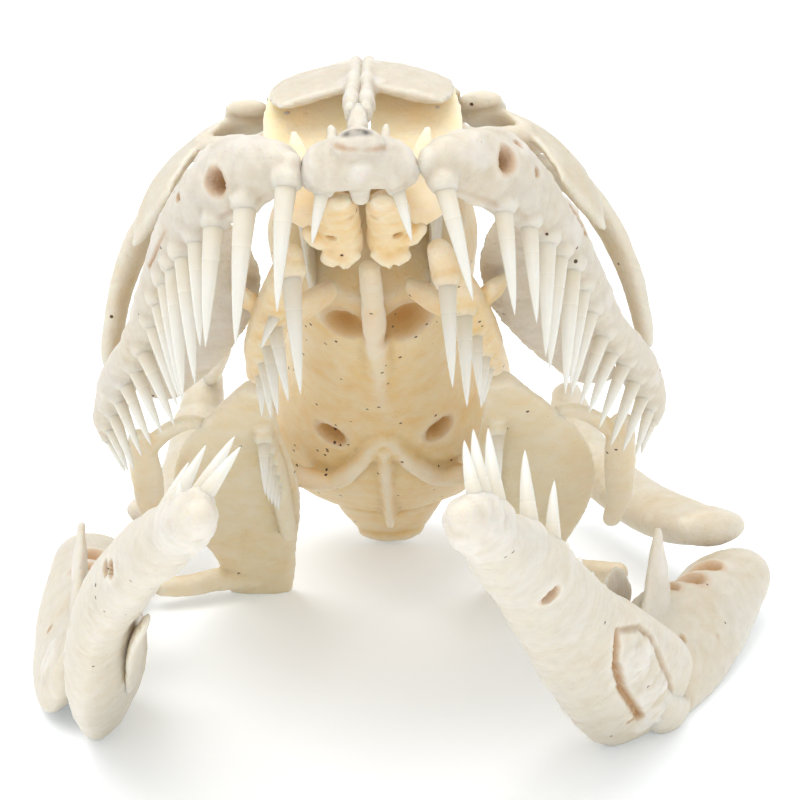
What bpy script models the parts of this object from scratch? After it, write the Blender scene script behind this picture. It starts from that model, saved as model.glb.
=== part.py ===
"""Ball python skull, cleaned bones, resting with the mouth agape.

The snout points to -Y and is tipped up, the animal's left is +X, and the floor is Z = 0.
Every table is in millimetres.  Skull bones are laid out in the skull's own frame:
x to the side, f forward from the occipital condyle, d up towards the skull roof.
Paired bones are written once, for the +X side, and mirrored.
"""
import math

import bmesh
import bpy
from mathutils import Matrix, Vector

MM = 0.001

# Driving dimensions, in millimetres and degrees
SKULL_PITCH = 35.4
SKULL_ROLL = 2.5
CONDYLE_AT = Vector((0.0, 24.2, 1.7))
SEAM_GAP = 0.3
CORNER_ANGLE = 40.0
FLOOR_CUT_DEPTH = 4.0
FLOOR_CUT_WIDTH = 100.0
SIDES_LARGE = 8
SIDES_SMALL = 6
TOOTH_SIDES = 5

# Bone finishes: colour, roughness
BONE = ((0.78, 0.69, 0.54, 1.0), 0.5)
PALATE_BONE = ((0.70, 0.55, 0.33, 1.0), 0.55)
JAW_BONE = ((0.76, 0.67, 0.52, 1.0), 0.5)


def clear_scene():
    for thing in list(bpy.data.objects):
        bpy.data.objects.remove(thing, do_unlink=True)


def finish(name, look):
    colour, roughness = look
    material = bpy.data.materials.new(name)
    material.use_nodes = True
    shader = material.node_tree.nodes["Principled BSDF"]
    shader.inputs["Base Color"].default_value = colour
    shader.inputs["Roughness"].default_value = roughness
    shader.inputs["Metallic"].default_value = 0.0
    return material


def skull_frame():
    """Skull frame to world: columns are the side, forward and up directions."""
    pitch = math.radians(SKULL_PITCH)
    roll = math.radians(SKULL_ROLL)
    forward = Vector((0.0, -math.cos(pitch), math.sin(pitch)))
    up = Vector((0.0, math.sin(pitch), math.cos(pitch)))
    side = Vector((1.0, 0.0, 0.0))
    rolled_side = side * math.cos(roll) + up * math.sin(roll)
    rolled_up = up * math.cos(roll) - side * math.sin(roll)
    columns = Matrix((rolled_side, forward, rolled_up)).transposed()
    return Matrix.Translation(CONDYLE_AT) @ columns.to_4x4()


def jaw_frame(origin, along, up_hint, outward):
    """Frame of one jaw segment: x outwards, y along the segment, z to its tooth edge."""
    y = Vector(along).normalized()
    z = Vector(up_hint)
    z = (z - z.dot(y) * y).normalized()
    x = y.cross(z)
    if x.x * outward < 0:
        x = -x
    columns = Matrix((x, y, z)).transposed()
    return Matrix.Translation(Vector(origin)) @ columns.to_4x4()


def tube(rings):
    """One closed mesh from a list of equal rings of points."""
    mesh = bmesh.new()
    loops = [[mesh.verts.new(point) for point in ring] for ring in rings]
    count = len(rings[0])
    for first, second in zip(loops, loops[1:]):
        for i in range(count):
            j = (i + 1) % count
            mesh.faces.new((first[i], first[j], second[j], second[i]))
    mesh.faces.new(list(reversed(loops[0])))
    mesh.faces.new(loops[-1])
    bmesh.ops.recalc_face_normals(mesh, faces=mesh.faces)
    return mesh


def strand(stations, across=(1, 0, 0), sides=SIDES_LARGE):
    """A bone's run of elliptical sections: (x, f, d, half width, half height)."""
    centres = [Vector(s[:3]) for s in stations]
    rings = []
    for i, station in enumerate(stations):
        ahead = centres[min(i + 1, len(centres) - 1)]
        behind = centres[max(i - 1, 0)]
        tangent = (ahead - behind).normalized()
        wide = Vector(across)
        wide = (wide - wide.dot(tangent) * tangent).normalized()
        high = tangent.cross(wide)
        ring = []
        for k in range(sides):
            angle = 2 * math.pi * (k + 0.5) / sides
            offset = wide * station[3] * math.cos(angle) + high * station[4] * math.sin(angle)
            ring.append(centres[i] + offset)
        rings.append(ring)
    return tube(rings)


def tooth(base, lean, length, radius):
    """A recurved fang: it leaves its socket along lean and hooks back towards the throat."""
    base = Vector(base)
    lean = Vector(lean).normalized()
    throat = Vector((0.0, -1.0, 0.0))
    across = lean.cross(throat).normalized()
    rings = []
    for along, size in ((-0.10, 1.0), (0.30, 0.92), (0.68, 0.60), (1.0, 0.12)):
        bend = 0.30 * length * along * abs(along)
        centre = base + lean * length * along + throat * bend
        tangent = (lean + throat * 0.6 * along).normalized()
        other = tangent.cross(across)
        ring = []
        for k in range(TOOTH_SIDES):
            angle = 2 * math.pi * k / TOOTH_SIDES
            ring.append(centre + (across * math.cos(angle) + other * math.sin(angle)) * radius * size)
        rings.append(ring)
    return tube(rings)


def ball(centre, radii):
    """A small faceted knob."""
    mesh = bmesh.new()
    bmesh.ops.create_icosphere(mesh, subdivisions=1, radius=1.0)
    for vert in mesh.verts:
        vert.co = Vector(centre) + Vector(v * r for v, r in zip(vert.co, radii))
    return mesh


def mirrored(mesh):
    """The same mesh on the other side of the skull."""
    for vert in mesh.verts:
        vert.co.x = -vert.co.x
    bmesh.ops.reverse_faces(mesh, faces=mesh.faces)
    return mesh


def to_object(name, mesh, frame):
    """Place a millimetre mesh in the world as an object in metres."""
    mesh.transform(Matrix.Scale(MM, 4) @ frame)
    if frame.to_3x3().determinant() < 0:
        bmesh.ops.reverse_faces(mesh, faces=mesh.faces)
    data = bpy.data.meshes.new(name)
    mesh.to_mesh(data)
    mesh.free()
    thing = bpy.data.objects.new(name, data)
    bpy.context.scene.collection.objects.link(thing)
    return thing


def combine(target, other, operation):
    """Join or cut target with other, exactly, and drop other."""
    step = target.modifiers.new(operation, "BOOLEAN")
    step.operation = operation
    step.solver = "EXACT"
    step.object = other
    bpy.context.view_layer.update()
    graph = bpy.context.evaluated_depsgraph_get()
    result = bpy.data.meshes.new_from_object(target.evaluated_get(graph))
    target.modifiers.clear()
    target.data = result
    bpy.data.objects.remove(other, do_unlink=True)


def bone(name, meshes, frame, look, cuts=()):
    """One named bone: its strands and teeth grown together, and its hollows cut."""
    target = to_object(name, meshes[0], frame)
    for extra in meshes[1:]:
        combine(target, to_object("growth", extra, frame), "UNION")
    for cut in cuts:
        combine(target, to_object("hollow", cut, frame), "DIFFERENCE")
    target.data.materials.clear()
    target.data.materials.append(finish(name + "_bone", look))
    return target


def along(path, fraction):
    """Point and half height at a share of the way along a list of stations."""
    spots = [Vector(s[:3]) for s in path]
    heights = [s[4] for s in path]
    runs = [(b - a).length for a, b in zip(spots, spots[1:])]
    goal = fraction * sum(runs)
    for i, run in enumerate(runs):
        if goal <= run or i == len(runs) - 1:
            part = goal / run
            height = heights[i] + (heights[i + 1] - heights[i]) * part
            return spots[i].lerp(spots[i + 1], part), height
        goal -= run


# The braincase: parietal, prootics, occipitals and the base with its long rod
BRAINCASE_BODY = (
    (0, 0.8, 1.6, 3.2, 2.6),
    (0, 2.5, 2.6, 5.2, 4.0),
    (0, 5.5, 3.4, 6.3, 5.0),
    (0, 9.0, 3.8, 6.3, 5.6),
    (0, 12.5, 4.2, 5.6, 5.5),
    (0, 17.0, 4.6, 4.5, 5.1),
    (0, 21.5, 5.0, 4.3, 4.9),
    (0, 25.6, 5.3, 4.6, 4.6),
)
BRAINCASE_CREST = (
    (0, 2.5, 6.4, 0.6, 0.8), (0, 6, 8.7, 0.5, 0.9), (0, 12, 9.9, 0.4, 0.7), (0, 18, 9.8, 0.4, 0.6),
)
BRAINCASE_ROD = (
    (0, 15.5, 0.2, 1.3, 0.8),
    (0, 19.0, 0.3, 0.75, 0.6),
    (0, 24.0, 0.5, 0.5, 0.5),
    (0, 29.0, 0.6, 0.45, 0.45),
    (0, 33.0, 0.6, 0.4, 0.35),
)
BRAINCASE_KEEL = ((0, 14.5, -0.9, 0.5, 0.6), (0, 9, -1.6, 0.35, 0.5), (0, 3.5, -1.5, 0.3, 0.5))
BRAINCASE_BASE_RIDGE = (
    (0.0, 15.2, -0.7, 0.6, 0.6),
    (1.2, 13.0, -1.2, 0.55, 0.6),
    (2.5, 11.2, -1.5, 0.6, 0.6),
    (4.2, 11.2, -1.2, 0.6, 0.6),
    (5.3, 12.6, -0.4, 0.5, 0.5),
)
BRAINCASE_CORNER = ((3.4, 24.6, 8.6, 0.8, 0.5), (5.0, 25.4, 8.7, 0.8, 0.45), (6.2, 25.9, 8.5, 0.6, 0.4))
CONDYLE = ((0, -0.2, -0.5, 2.2, 0.85), (0, 1.2, -0.4, 2.4, 1.0), (0, 3.0, 0.0, 3.0, 1.2))
CONDYLE_KNOB_RADII = (2.1, 1.0, 1.0)
SPINAL_HOLE = ((0, -1.0, 2.3, 1.5, 1.2), (0, 5.5, 2.6, 1.4, 1.1))


def make_braincase(frame):
    meshes = [strand(BRAINCASE_BODY, sides=12)]
    meshes.append(strand(BRAINCASE_CREST, sides=4))
    meshes.append(strand(BRAINCASE_ROD, sides=SIDES_SMALL))
    meshes.append(strand(BRAINCASE_KEEL, sides=4))
    meshes.append(strand(CONDYLE))
    meshes.append(ball((0, -0.3, -0.75), CONDYLE_KNOB_RADII))
    other_side = [(-x, *rest) for x, *rest in reversed(BRAINCASE_BASE_RIDGE[1:])]
    meshes.append(strand(other_side + list(BRAINCASE_BASE_RIDGE), across=(0, 1, 0.3), sides=SIDES_SMALL))
    for flip in (False, True):
        mesh = strand(BRAINCASE_CORNER, across=(0, 1, 0), sides=SIDES_SMALL)
        meshes.append(mirrored(mesh) if flip else mesh)
    cuts = [strand(SPINAL_HOLE, sides=SIDES_SMALL)]
    bone("braincase", meshes, frame, PALATE_BONE, cuts)


# The premaxilla, between the two maxillae, with its knob, side wings and two teeth
PREMAXILLA_WINGS = (
    (-1.6, 42.9, 0.2, 0.5, 0.75),
    (-1.0, 43.6, 0.15, 0.75, 0.95),
    (0, 44.0, 0.0, 0.9, 0.9),
    (1.0, 43.6, 0.15, 0.75, 0.95),
    (1.6, 42.9, 0.2, 0.5, 0.75),
)
PREMAXILLA_POST = ((0, 43.9, 0.6, 0.4, 0.5), (0, 43.3, 1.9, 0.36, 0.45), (0, 42.5, 2.6, 0.3, 0.35))
PREMAXILLA_PRONG = ((0.85, 43.3, 0.8, 0.3, 0.3), (0.95, 42.7, 1.9, 0.18, 0.2))
PREMAXILLA_FOOT = ((0, 43.6, -0.5, 0.5, 0.4), (0, 42.0, -0.9, 0.4, 0.3))
PREMAXILLA_KNOB = ((0, 44.5, 0.35), (1.0, 0.75, 0.8))
PREMAXILLA_TOOTH = ((1.25, 43.1, -0.5), (0.25, 0.0, -1.0), 1.9, 0.27)


def make_premaxilla(frame):
    meshes = [strand(PREMAXILLA_WINGS, across=(0, 1, 0))]
    meshes.append(ball(*PREMAXILLA_KNOB))
    meshes.append(strand(PREMAXILLA_POST, sides=SIDES_SMALL))
    meshes.append(strand(PREMAXILLA_FOOT, sides=SIDES_SMALL))
    for flip in (False, True):
        for mesh in (tooth(*PREMAXILLA_TOOTH), strand(PREMAXILLA_PRONG, sides=4)):
            meshes.append(mirrored(mesh) if flip else mesh)
    bone("premaxilla", meshes, frame, BONE)


# Paired bones of the snout, roof and palate, written for the +X side
NASAL_ROOF = (
    (1.75, 35.9, 7.4, 1.55, 0.36), (1.78, 37.2, 6.5, 1.55, 0.38), (1.75, 38.4, 5.55, 1.5, 0.34),
    (1.65, 39.3, 4.8, 1.3, 0.26),
)
NASAL_KEEL = (
    (0.39, 36.3, 7.2, 0.2, 0.4), (0.38, 37.4, 6.4, 0.22, 0.5), (0.38, 39.5, 4.8, 0.22, 0.5),
    (0.38, 41.9, 3.2, 0.2, 0.4),
)
SEPTOMAXILLA_BODY = (
    (1.4, 41.9, 0.55, 0.4, 0.3),
    (1.8, 40.9, 0.75, 0.6, 0.35),
    (2.2, 39.6, 0.8, 0.85, 0.35),
    (2.2, 38.0, 0.85, 0.8, 0.35),
    (1.9, 36.8, 0.9, 0.5, 0.3),
)
SEPTOMAXILLA_PEAK = (
    (1.95, 40.4, 0.8, 0.5, 0.3), (2.25, 40.4, 2.2, 0.33, 0.2), (2.42, 40.3, 3.4, 0.13, 0.13),
)
VOMER_BODY = (
    (0.85, 42.5, -0.75, 0.45, 0.3), (0.98, 41.6, -0.5, 0.72, 0.5), (1.02, 40.2, -0.25, 0.82, 0.6),
    (1.0, 38.9, -0.25, 0.8, 0.62),
    (0.98, 38.0, -0.45, 0.82, 0.6), (0.9, 37.2, -0.4, 0.6, 0.42),
)
VOMER_TAIL = ((0.85, 37.4, -0.35, 0.26, 0.35), (0.8, 34.8, 0.1, 0.18, 0.3))
PREFRONTAL_SHEET = (
    (4.15, 34.45, 6.35, 1.05, 0.32), (5.2, 33.8, 6.35, 1.9, 0.35), (6.6, 33.3, 5.9, 2.3, 0.35),
    (7.6, 33.4, 4.8, 2.4, 0.33),
    (8.15, 33.7, 3.5, 2.3, 0.3), (8.35, 34.0, 2.45, 2.0, 0.26),
)
PREFRONTAL_STRUT = (
    (2.75, 37.6, 4.95, 0.25, 0.24), (3.4, 37.0, 4.6, 0.28, 0.28), (4.2, 36.6, 4.3, 0.34, 0.36),
    (6.0, 35.2, 4.9, 0.42, 0.46),
)
PREFRONTAL_ROOF = ((4.75, 35.6, 6.2, 0.5, 0.3), (4.7, 33.0, 7.0, 0.55, 0.4), (4.9, 31.2, 7.4, 0.4, 0.3))
FRONTAL_ROOF = (
    (2.0, 35.4, 7.5, 1.75, 0.36), (2.05, 33.5, 8.0, 1.85, 0.45), (2.15, 30.5, 8.4, 1.95, 0.5),
    (2.25, 27.6, 8.75, 2.05, 0.5), (2.3, 26.3, 8.85, 1.95, 0.42),
)
FRONTAL_WALL = (
    (2.7, 34.3, 5.1, 2.6, 0.3),
    (2.7, 31.0, 5.0, 3.3, 0.32),
    (2.7, 27.6, 5.1, 3.6, 0.35),
    (2.7, 26.4, 5.1, 3.5, 0.3),
)
SUPRAORBITAL = ((5.5, 30.4, 7.5, 0.4, 0.25), (6.4, 28.8, 7.9, 0.8, 0.34), (7.0, 27.6, 7.9, 0.7, 0.3))
POSTORBITAL = (
    (6.9, 26.7, 7.6, 0.8, 0.42), (8.4, 26.4, 7.0, 0.95, 0.54), (9.9, 25.3, 5.5, 0.95, 0.54),
    (10.95, 23.9, 3.7, 0.9, 0.5),
    (11.5, 22.6, 1.9, 0.82, 0.44), (11.65, 22.0, 1.1, 0.55, 0.34),
)
MAXILLA_BAR = (
    (2.3, 43.3, 0.35, 0.35, 0.45), (2.75, 42.8, 0.5, 0.7, 0.9), (4.2, 41.4, 0.85, 0.85, 1.3),
    (5.7, 39.5, 0.75, 0.85, 1.25),
    (6.85, 37.0, 0.65, 0.75, 1.05), (7.6, 35.0, 0.55, 0.7, 0.92), (8.25, 33.0, 0.15, 0.68, 0.85),
    (8.8, 31.0, -0.25, 0.68, 0.8),
    (9.6, 28.5, -0.7, 0.72, 0.75), (10.55, 26.0, -0.8, 0.75, 0.78), (11.4, 23.0, -1.05, 0.75, 0.8),
    (11.9, 21.0, -1.35, 0.6, 0.65),
    (12.0, 19.6, -1.7, 0.35, 0.4),
)
MAXILLA_CREST = ((3.6, 41.9, 1.5, 0.4, 0.5), (4.7, 41.0, 2.1, 0.5, 0.45), (6.0, 39.2, 1.9, 0.4, 0.4))
MAXILLA_SHELF = ((6.0, 36.5, 0.9, 1.0, 0.35), (6.4, 34.0, 0.6, 1.3, 0.35), (7.4, 31.0, 0.4, 0.9, 0.3))
PALATINE_BAR = (
    (2.65, 38.0, -0.75, 0.42, 0.4), (3.0, 36.6, -1.1, 0.7, 0.62), (3.7, 33.6, -1.25, 0.8, 0.65),
    (4.4, 29.8, -1.35, 0.76, 0.6),
    (4.85, 26.2, -1.3, 0.55, 0.45),
)
PALATINE_KNOB = ((3.9, 31.6, -0.9, 0.9, 0.5), (2.6, 31.2, -0.2, 0.9, 0.5), (1.6, 30.6, 0.6, 0.7, 0.4))
PALATINE_WING = ((4.4, 33.4, -0.9, 0.9, 0.35), (5.0, 33.0, -0.4, 0.9, 0.3))
PTERYGOID_BLADE = (
    (5.05, 25.1, -1.5, 0.66, 0.42), (5.9, 22.0, -1.8, 1.5, 0.46), (6.6, 18.5, -2.1, 2.4, 0.5),
    (6.85, 15.0, -2.6, 2.9, 0.55),
    (6.8, 11.5, -3.3, 2.7, 0.55), (6.55, 8.0, -4.2, 2.0, 0.5), (6.5, 5.6, -5.0, 1.7, 0.48),
    (6.5, 4.5, -5.4, 1.45, 0.4),
)
PTERYGOID_RAMUS = (
    (6.6, 6.0, -4.9, 0.9, 0.5), (8.4, 6.4, -5.0, 0.8, 0.55), (9.8, 7.0, -5.4, 0.75, 0.55),
    (11.2, 7.6, -5.6, 0.6, 0.45),
)
PTERYGOID_RIDGE = ((5.1, 22.0, -2.1, 0.45, 0.4), (4.8, 17.0, -2.8, 0.5, 0.5), (4.7, 11.0, -4.0, 0.45, 0.45))
ECTOPTERYGOID = (
    (10.45, 21.5, -2.15, 0.46, 0.24), (10.55, 19.3, -2.6, 0.7, 0.38), (10.65, 17.0, -3.1, 0.72, 0.42),
    (10.75, 14.6, -3.7, 0.6, 0.42),
    (10.5, 12.6, -4.3, 0.4, 0.32),
)
SUPRATEMPORAL = (
    (6.4, 12.6, 6.6, 0.3, 0.3),
    (7.6, 9.0, 7.2, 0.35, 0.7),
    (8.4, 5.0, 7.6, 0.4, 0.85),
    (9.1, 2.0, 7.7, 0.45, 0.8),
    (9.6, 0.2, 7.6, 0.4, 0.6),
)
CHEEK_FORAMEN = ((4.9, 42.6, 1.5, 0.42, 0.42), (5.0, 40.7, 1.3, 0.3, 0.3))

# Tooth rows: share of the bar's length, tooth length, lean to the side
MAXILLA_TEETH = {
    "left": (
        (0.030, 4.1, 0.23), (0.150, 3.8, 0.08), (0.215, 3.6, 0.05), (0.280, 4.3, -0.04),
        (0.335, 4.4, -0.12),
        (0.390, 4.8, -0.08), (0.455, 3.8, -0.16), (0.520, 3.5, -0.28), (0.600, 3.0, -0.38),
        (0.660, 2.8, -0.46),
        (0.720, 2.9, -0.46), (0.790, 3.0, -0.43), (0.855, 2.6, -0.42), (0.910, 2.2, -0.34),
        (0.960, 1.7, -0.40),
    ),
    "right": (
        (0.012, 4.4, 0.11), (0.095, 4.9, 0.11), (0.170, 4.4, 0.11), (0.230, 3.9, 0.0), (0.285, 4.8, -0.05),
        (0.335, 4.9, -0.03), (0.390, 4.6, -0.10), (0.450, 3.9, -0.18), (0.520, 3.4, -0.28),
        (0.605, 3.3, -0.40),
        (0.670, 2.9, -0.40), (0.735, 2.8, -0.40), (0.800, 2.6, -0.38), (0.860, 2.6, -0.34),
        (0.920, 2.1, -0.40),
        (0.965, 1.7, -0.45),
    ),
}
PALATINE_TEETH = {
    "left": ((0.10, 3.9, 0.02), (0.33, 3.6, 0.0), (0.52, 2.6, 0.05), (0.72, 2.2, -0.1), (0.875, 1.6, -0.2)),
    "right": (
        (0.04, 4.4, -0.05), (0.315, 1.4, 0.5), (0.38, 3.0, -0.16), (0.54, 2.9, -0.1), (0.7, 2.4, -0.1), (0.87, 1.8, 0.0),
    ),
}
PTERYGOID_TEETH = ((0.06, 2.4, 0.0), (0.16, 2.2, 0.0), (0.26, 1.9, 0.0), (0.36, 1.6, 0.0), (0.46, 1.3, 0.0))
TOOTH_RADIUS_BASE = 0.16
TOOTH_RADIUS_PER_LENGTH = 0.062


def tooth_row(path, rows, sink=0.75):
    teeth = []
    for fraction, length, lean in rows:
        centre, height = along(path, fraction)
        base = centre - Vector((0, 0, height * sink))
        radius = TOOTH_RADIUS_BASE + TOOTH_RADIUS_PER_LENGTH * length
        teeth.append(tooth(base, (lean, 0.0, -1.0), length, radius))
    return teeth


def nasal(side):
    return [strand(NASAL_ROOF, across=(1, 0, -0.3)), strand(NASAL_KEEL, sides=4)], []


def septomaxilla(side):
    return [strand(SEPTOMAXILLA_BODY), strand(SEPTOMAXILLA_PEAK, sides=SIDES_SMALL)], []


def vomer(side):
    return [strand(VOMER_BODY), strand(VOMER_TAIL, sides=SIDES_SMALL)], []


def prefrontal(side):
    sheet = strand(PREFRONTAL_SHEET, across=(-0.4, 1, -0.25))
    strut = strand(PREFRONTAL_STRUT, across=(0, 1, 0), sides=SIDES_SMALL)
    roof = strand(PREFRONTAL_ROOF, sides=SIDES_SMALL)
    return [sheet, strut, roof], []


def frontal(side):
    roof = strand(FRONTAL_ROOF, across=(1, 0, -0.42))
    wall = strand(FRONTAL_WALL, across=(0.06, 0, 1))
    return [roof, wall], []


def supraorbital(side):
    return [strand(SUPRAORBITAL, across=(1, 0.5, 0), sides=SIDES_SMALL)], []


def postorbital(side):
    return [strand(POSTORBITAL, across=(0, 1, 0))], []


def maxilla(side):
    meshes = [strand(MAXILLA_BAR, across=(1, 0, -0.35))]
    meshes.append(strand(MAXILLA_CREST, sides=SIDES_SMALL))
    meshes.append(strand(MAXILLA_SHELF, sides=SIDES_SMALL))
    meshes += tooth_row(MAXILLA_BAR, MAXILLA_TEETH[side])
    return meshes, [strand(CHEEK_FORAMEN, sides=SIDES_SMALL)]


def palatine(side):
    meshes = [strand(PALATINE_BAR)]
    meshes.append(strand(PALATINE_KNOB, across=(0, 1, 0), sides=SIDES_SMALL))
    meshes.append(strand(PALATINE_WING, across=(0, 1, 0), sides=SIDES_SMALL))
    meshes += tooth_row(PALATINE_BAR, PALATINE_TEETH[side])
    return meshes, []


def pterygoid(side):
    meshes = [strand(PTERYGOID_BLADE)]
    meshes.append(strand(PTERYGOID_RAMUS, across=(0, 1, 0), sides=SIDES_SMALL))
    meshes.append(strand(PTERYGOID_RIDGE, sides=SIDES_SMALL))
    meshes += tooth_row(PTERYGOID_RIDGE, PTERYGOID_TEETH)
    return meshes, []


def ectopterygoid(side):
    return [strand(ECTOPTERYGOID)], []


def supratemporal(side):
    return [strand(SUPRATEMPORAL, sides=SIDES_SMALL)], []


PAIRED_BONES = (
    ("nasal", nasal, BONE),
    ("septomaxilla", septomaxilla, PALATE_BONE),
    ("vomer", vomer, PALATE_BONE),
    ("prefrontal", prefrontal, BONE),
    ("frontal", frontal, BONE),
    ("supraorbital", supraorbital, BONE),
    ("postorbital", postorbital, BONE),
    ("maxilla", maxilla, BONE),
    ("palatine", palatine, PALATE_BONE),
    ("pterygoid", pterygoid, PALATE_BONE),
    ("ectopterygoid", ectopterygoid, PALATE_BONE),
    ("supratemporal", supratemporal, BONE),
)


def make_paired_bones(frame):
    for name, recipe, look in PAIRED_BONES:
        for side, flip in (("left", False), ("right", True)):
            meshes, cuts = recipe(side)
            if flip:
                meshes = [mirrored(mesh) for mesh in meshes]
                cuts = [mirrored(cut) for cut in cuts]
            bone(name + "_" + side, meshes, frame, look, cuts)


# The quadrates hang from the back of the skull to the jaw joints
QUADRATE_SECTIONS = (
    (0.0, 1.5, 1.4), (0.22, 1.4, 1.3), (0.5, 1.5, 1.25), (0.78, 1.8, 1.1), (0.97, 2.0, 0.95),
)
QUADRATE_SAG = 1.1
QUADRATES = (
    ("left", Vector((9.6, 26.6, 4.9)), Vector((15.9, 14.6, 4.45))),
    ("right", Vector((-10.3, 26.8, 5.6)), Vector((-10.8, 15.8, 4.6))),
)


def make_quadrates():
    for side, top, bottom in QUADRATES:
        stations = []
        for share, wide, thick in QUADRATE_SECTIONS:
            centre = top.lerp(bottom, share)
            centre.z -= QUADRATE_SAG * 4 * share * (1 - share)
            stations.append((*centre, wide, thick))
        meshes = [strand(stations)]
        bone("quadrate_" + side, meshes, Matrix.Identity(4), BONE)


# Each lower jaw has two segments, bent at the elbow that rests on the floor.
# Front segment stations: (x outwards, y towards the tip, z to the tooth edge, half width, half height)
DENTARY_BAR = (
    (0.0, -1.4, 3.3, 0.7, 1.5), (0.0, 0.6, 2.75, 1.1, 2.6), (-0.1, 3.0, 2.55, 1.25, 2.8),
    (-0.3, 7.0, 2.2, 1.3, 2.6),
    (-0.5, 13.0, 1.75, 1.2, 2.05), (-0.6, 17.0, 1.6, 1.15, 1.75), (-0.6, 20.5, 1.5, 1.05, 1.5),
    (-0.5, 23.5, 1.2, 1.0, 1.25), (-0.3, 26.0, 0.95, 0.95, 1.0), (-0.1, 28.1, 0.7, 0.75, 0.8),
    (0.0, 28.9, 0.65, 0.45, 0.5),
)
DENTARY_NOTCH = ((1.1, -3.0, 2.9, 1.2, 1.5), (1.1, 1.5, 3.0, 1.2, 1.4), (1.1, 3.6, 3.2, 1.0, 0.8))
DENTARY_FORAMEN = ((1.6, 16.6, 2.2, 0.35, 0.35), (0.0, 16.4, 2.1, 0.25, 0.25))
DENTARY_TEETH = {
    "left": (
        (0.985, 2.4, -1.15), (0.960, 2.9, -1.05), (0.915, 3.2, -0.97), (0.800, 3.2, -0.85),
        (0.715, 2.7, -0.70),
        (0.66, 0.9, -0.6), (0.60, 0.8, -0.55), (0.54, 0.7, -0.55), (0.48, 0.7, -0.55),
        (0.42, 0.6, -0.55), (0.36, 0.6, -0.55),
    ),
    "right": (
        (0.985, 2.5, -0.18), (0.930, 3.1, -0.13), (0.860, 1.3, 0.24), (0.785, 3.5, -0.08),
        (0.735, 3.0, -0.06),
        (0.66, 0.9, -0.1), (0.60, 0.8, -0.1), (0.54, 0.7, -0.1), (0.48, 0.7, -0.1), (0.42, 0.6, -0.1),
        (0.36, 0.6, -0.1),
    ),
}
DENTARY_TOOTH_RISE = (0.50, 0.68)
SPLENIAL = (
    (-1.95, 3.0, 1.6, 0.25, 0.9), (-2.25, 7.5, 1.5, 0.28, 1.0), (-2.3, 12.0, 1.1, 0.25, 0.7),
    (-2.25, 16.0, 0.8, 0.18, 0.35),
)
# Rear segment stations: (x outwards, y back to the jaw joint, z up, half width, half height)
COMPOUND_BAR = (
    (0.9, 0.9, 3.0, 0.7, 1.3), (0.9, 2.6, 2.65, 1.0, 2.4), (0.9, 5.0, 2.5, 1.3, 2.8),
    (0.9, 8.0, 2.3, 1.5, 2.6),
    (0.7, 11.0, 2.0, 1.8, 2.1), (0.1, 13.4, 1.75, 2.3, 1.65), (-0.2, 15.2, 1.8, 2.4, 1.3),
    (-0.4, 16.8, 1.9, 1.8, 0.95),
    (-0.5, 18.0, 1.9, 0.9, 0.6),
)
# A tongue of the compound bone fills the dentary's notch; it is laid out in the front segment's frame
COMPOUND_TONGUE = {
    "left": (
        (0.75, 2.8, 3.15, 0.3, 0.5), (0.75, 0.8, 3.0, 0.4, 0.9), (0.75, -1.2, 3.1, 0.4, 1.0),
        (0.3, -2.3, 3.4, 0.45, 1.0), (-1.0, -3.3, 3.8, 0.6, 1.0),
    ),
    "right": (
        (0.75, 2.8, 3.15, 0.3, 0.5), (0.75, 0.8, 3.0, 0.4, 0.9), (0.85, -1.2, 3.1, 0.4, 1.0),
        (1.35, -2.3, 3.7, 0.45, 1.0), (2.3, -3.1, 4.3, 0.6, 0.95),
    ),
}
COMPOUND_PEAK = ((0.45, 4.65, 4.35, 1.45, 0.52), (0.4, 4.9, 6.2, 1.0, 0.36), (0.25, 5.2, 8.2, 0.2, 0.15))
COMPOUND_FOSSA = ((-0.1, 7.2, 5.2, 0.5, 1.6), (0.0, 9.5, 4.4, 0.7, 1.6), (0.0, 12.0, 3.7, 0.6, 1.2))
COMPOUND_FORAMEN = ((2.6, 4.6, 3.6, 0.3, 0.3), (1.2, 4.7, 3.5, 0.2, 0.2))
CORONOID = {
    "left": ((-1.3, 2.2, 4.2, 0.22, 0.6), (-1.55, 4.4, 4.6, 0.25, 1.7), (-1.75, 6.8, 3.9, 0.22, 0.8)),
    "right": ((-1.5, 4.9, 4.3, 0.22, 0.6), (-1.6, 6.6, 4.5, 0.25, 1.5), (-1.75, 8.8, 3.9, 0.22, 0.8)),
}
ANGULAR = {
    "left": ((-1.0, 0.9, 0.9, 0.2, 0.4), (-1.6, 3.2, 0.8, 0.25, 0.6), (-2.2, 6.4, 0.7, 0.2, 0.35)),
    "right": ((-0.5, 4.2, 0.7, 0.2, 0.35), (-0.6, 6.2, 0.7, 0.25, 0.5), (-0.8, 8.8, 0.6, 0.2, 0.35)),
}
JAWS = (
    ("left", 1, Vector((9.6, 0.2, -0.13)), Vector((3.1, -21.6, 17.7)), (0.73, 0.263, 0.63), 27.0, 0.3),
    ("right", -1, Vector((-12.0, -0.3, -0.15)), Vector((-4.9, -21.5, 17.3)), (0.35, 0.3, 0.85), 8.0, 2.1),
)


def bowed(stations, bow):
    """Stations of the front segment, bent outwards between the elbow and the tip."""
    reach = DENTARY_BAR[-1][1]
    rows = []
    for x, y, z, wide, high in stations:
        share = min(max(y / reach, 0.0), 1.0)
        rows.append((x + bow * math.sin(math.pi * share), y, z, wide, high))
    return rows


def dentary_teeth(side, bar):
    teeth = []
    for share, length, inward in DENTARY_TEETH[side]:
        centre, height = along(bar, share)
        base = centre + Vector((0, 0, height * 0.75))
        radius = TOOTH_RADIUS_BASE + 0.02 + TOOTH_RADIUS_PER_LENGTH * max(length, 1.5)
        teeth.append(tooth(base, (inward, *DENTARY_TOOTH_RISE), length, radius))
    return teeth


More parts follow.
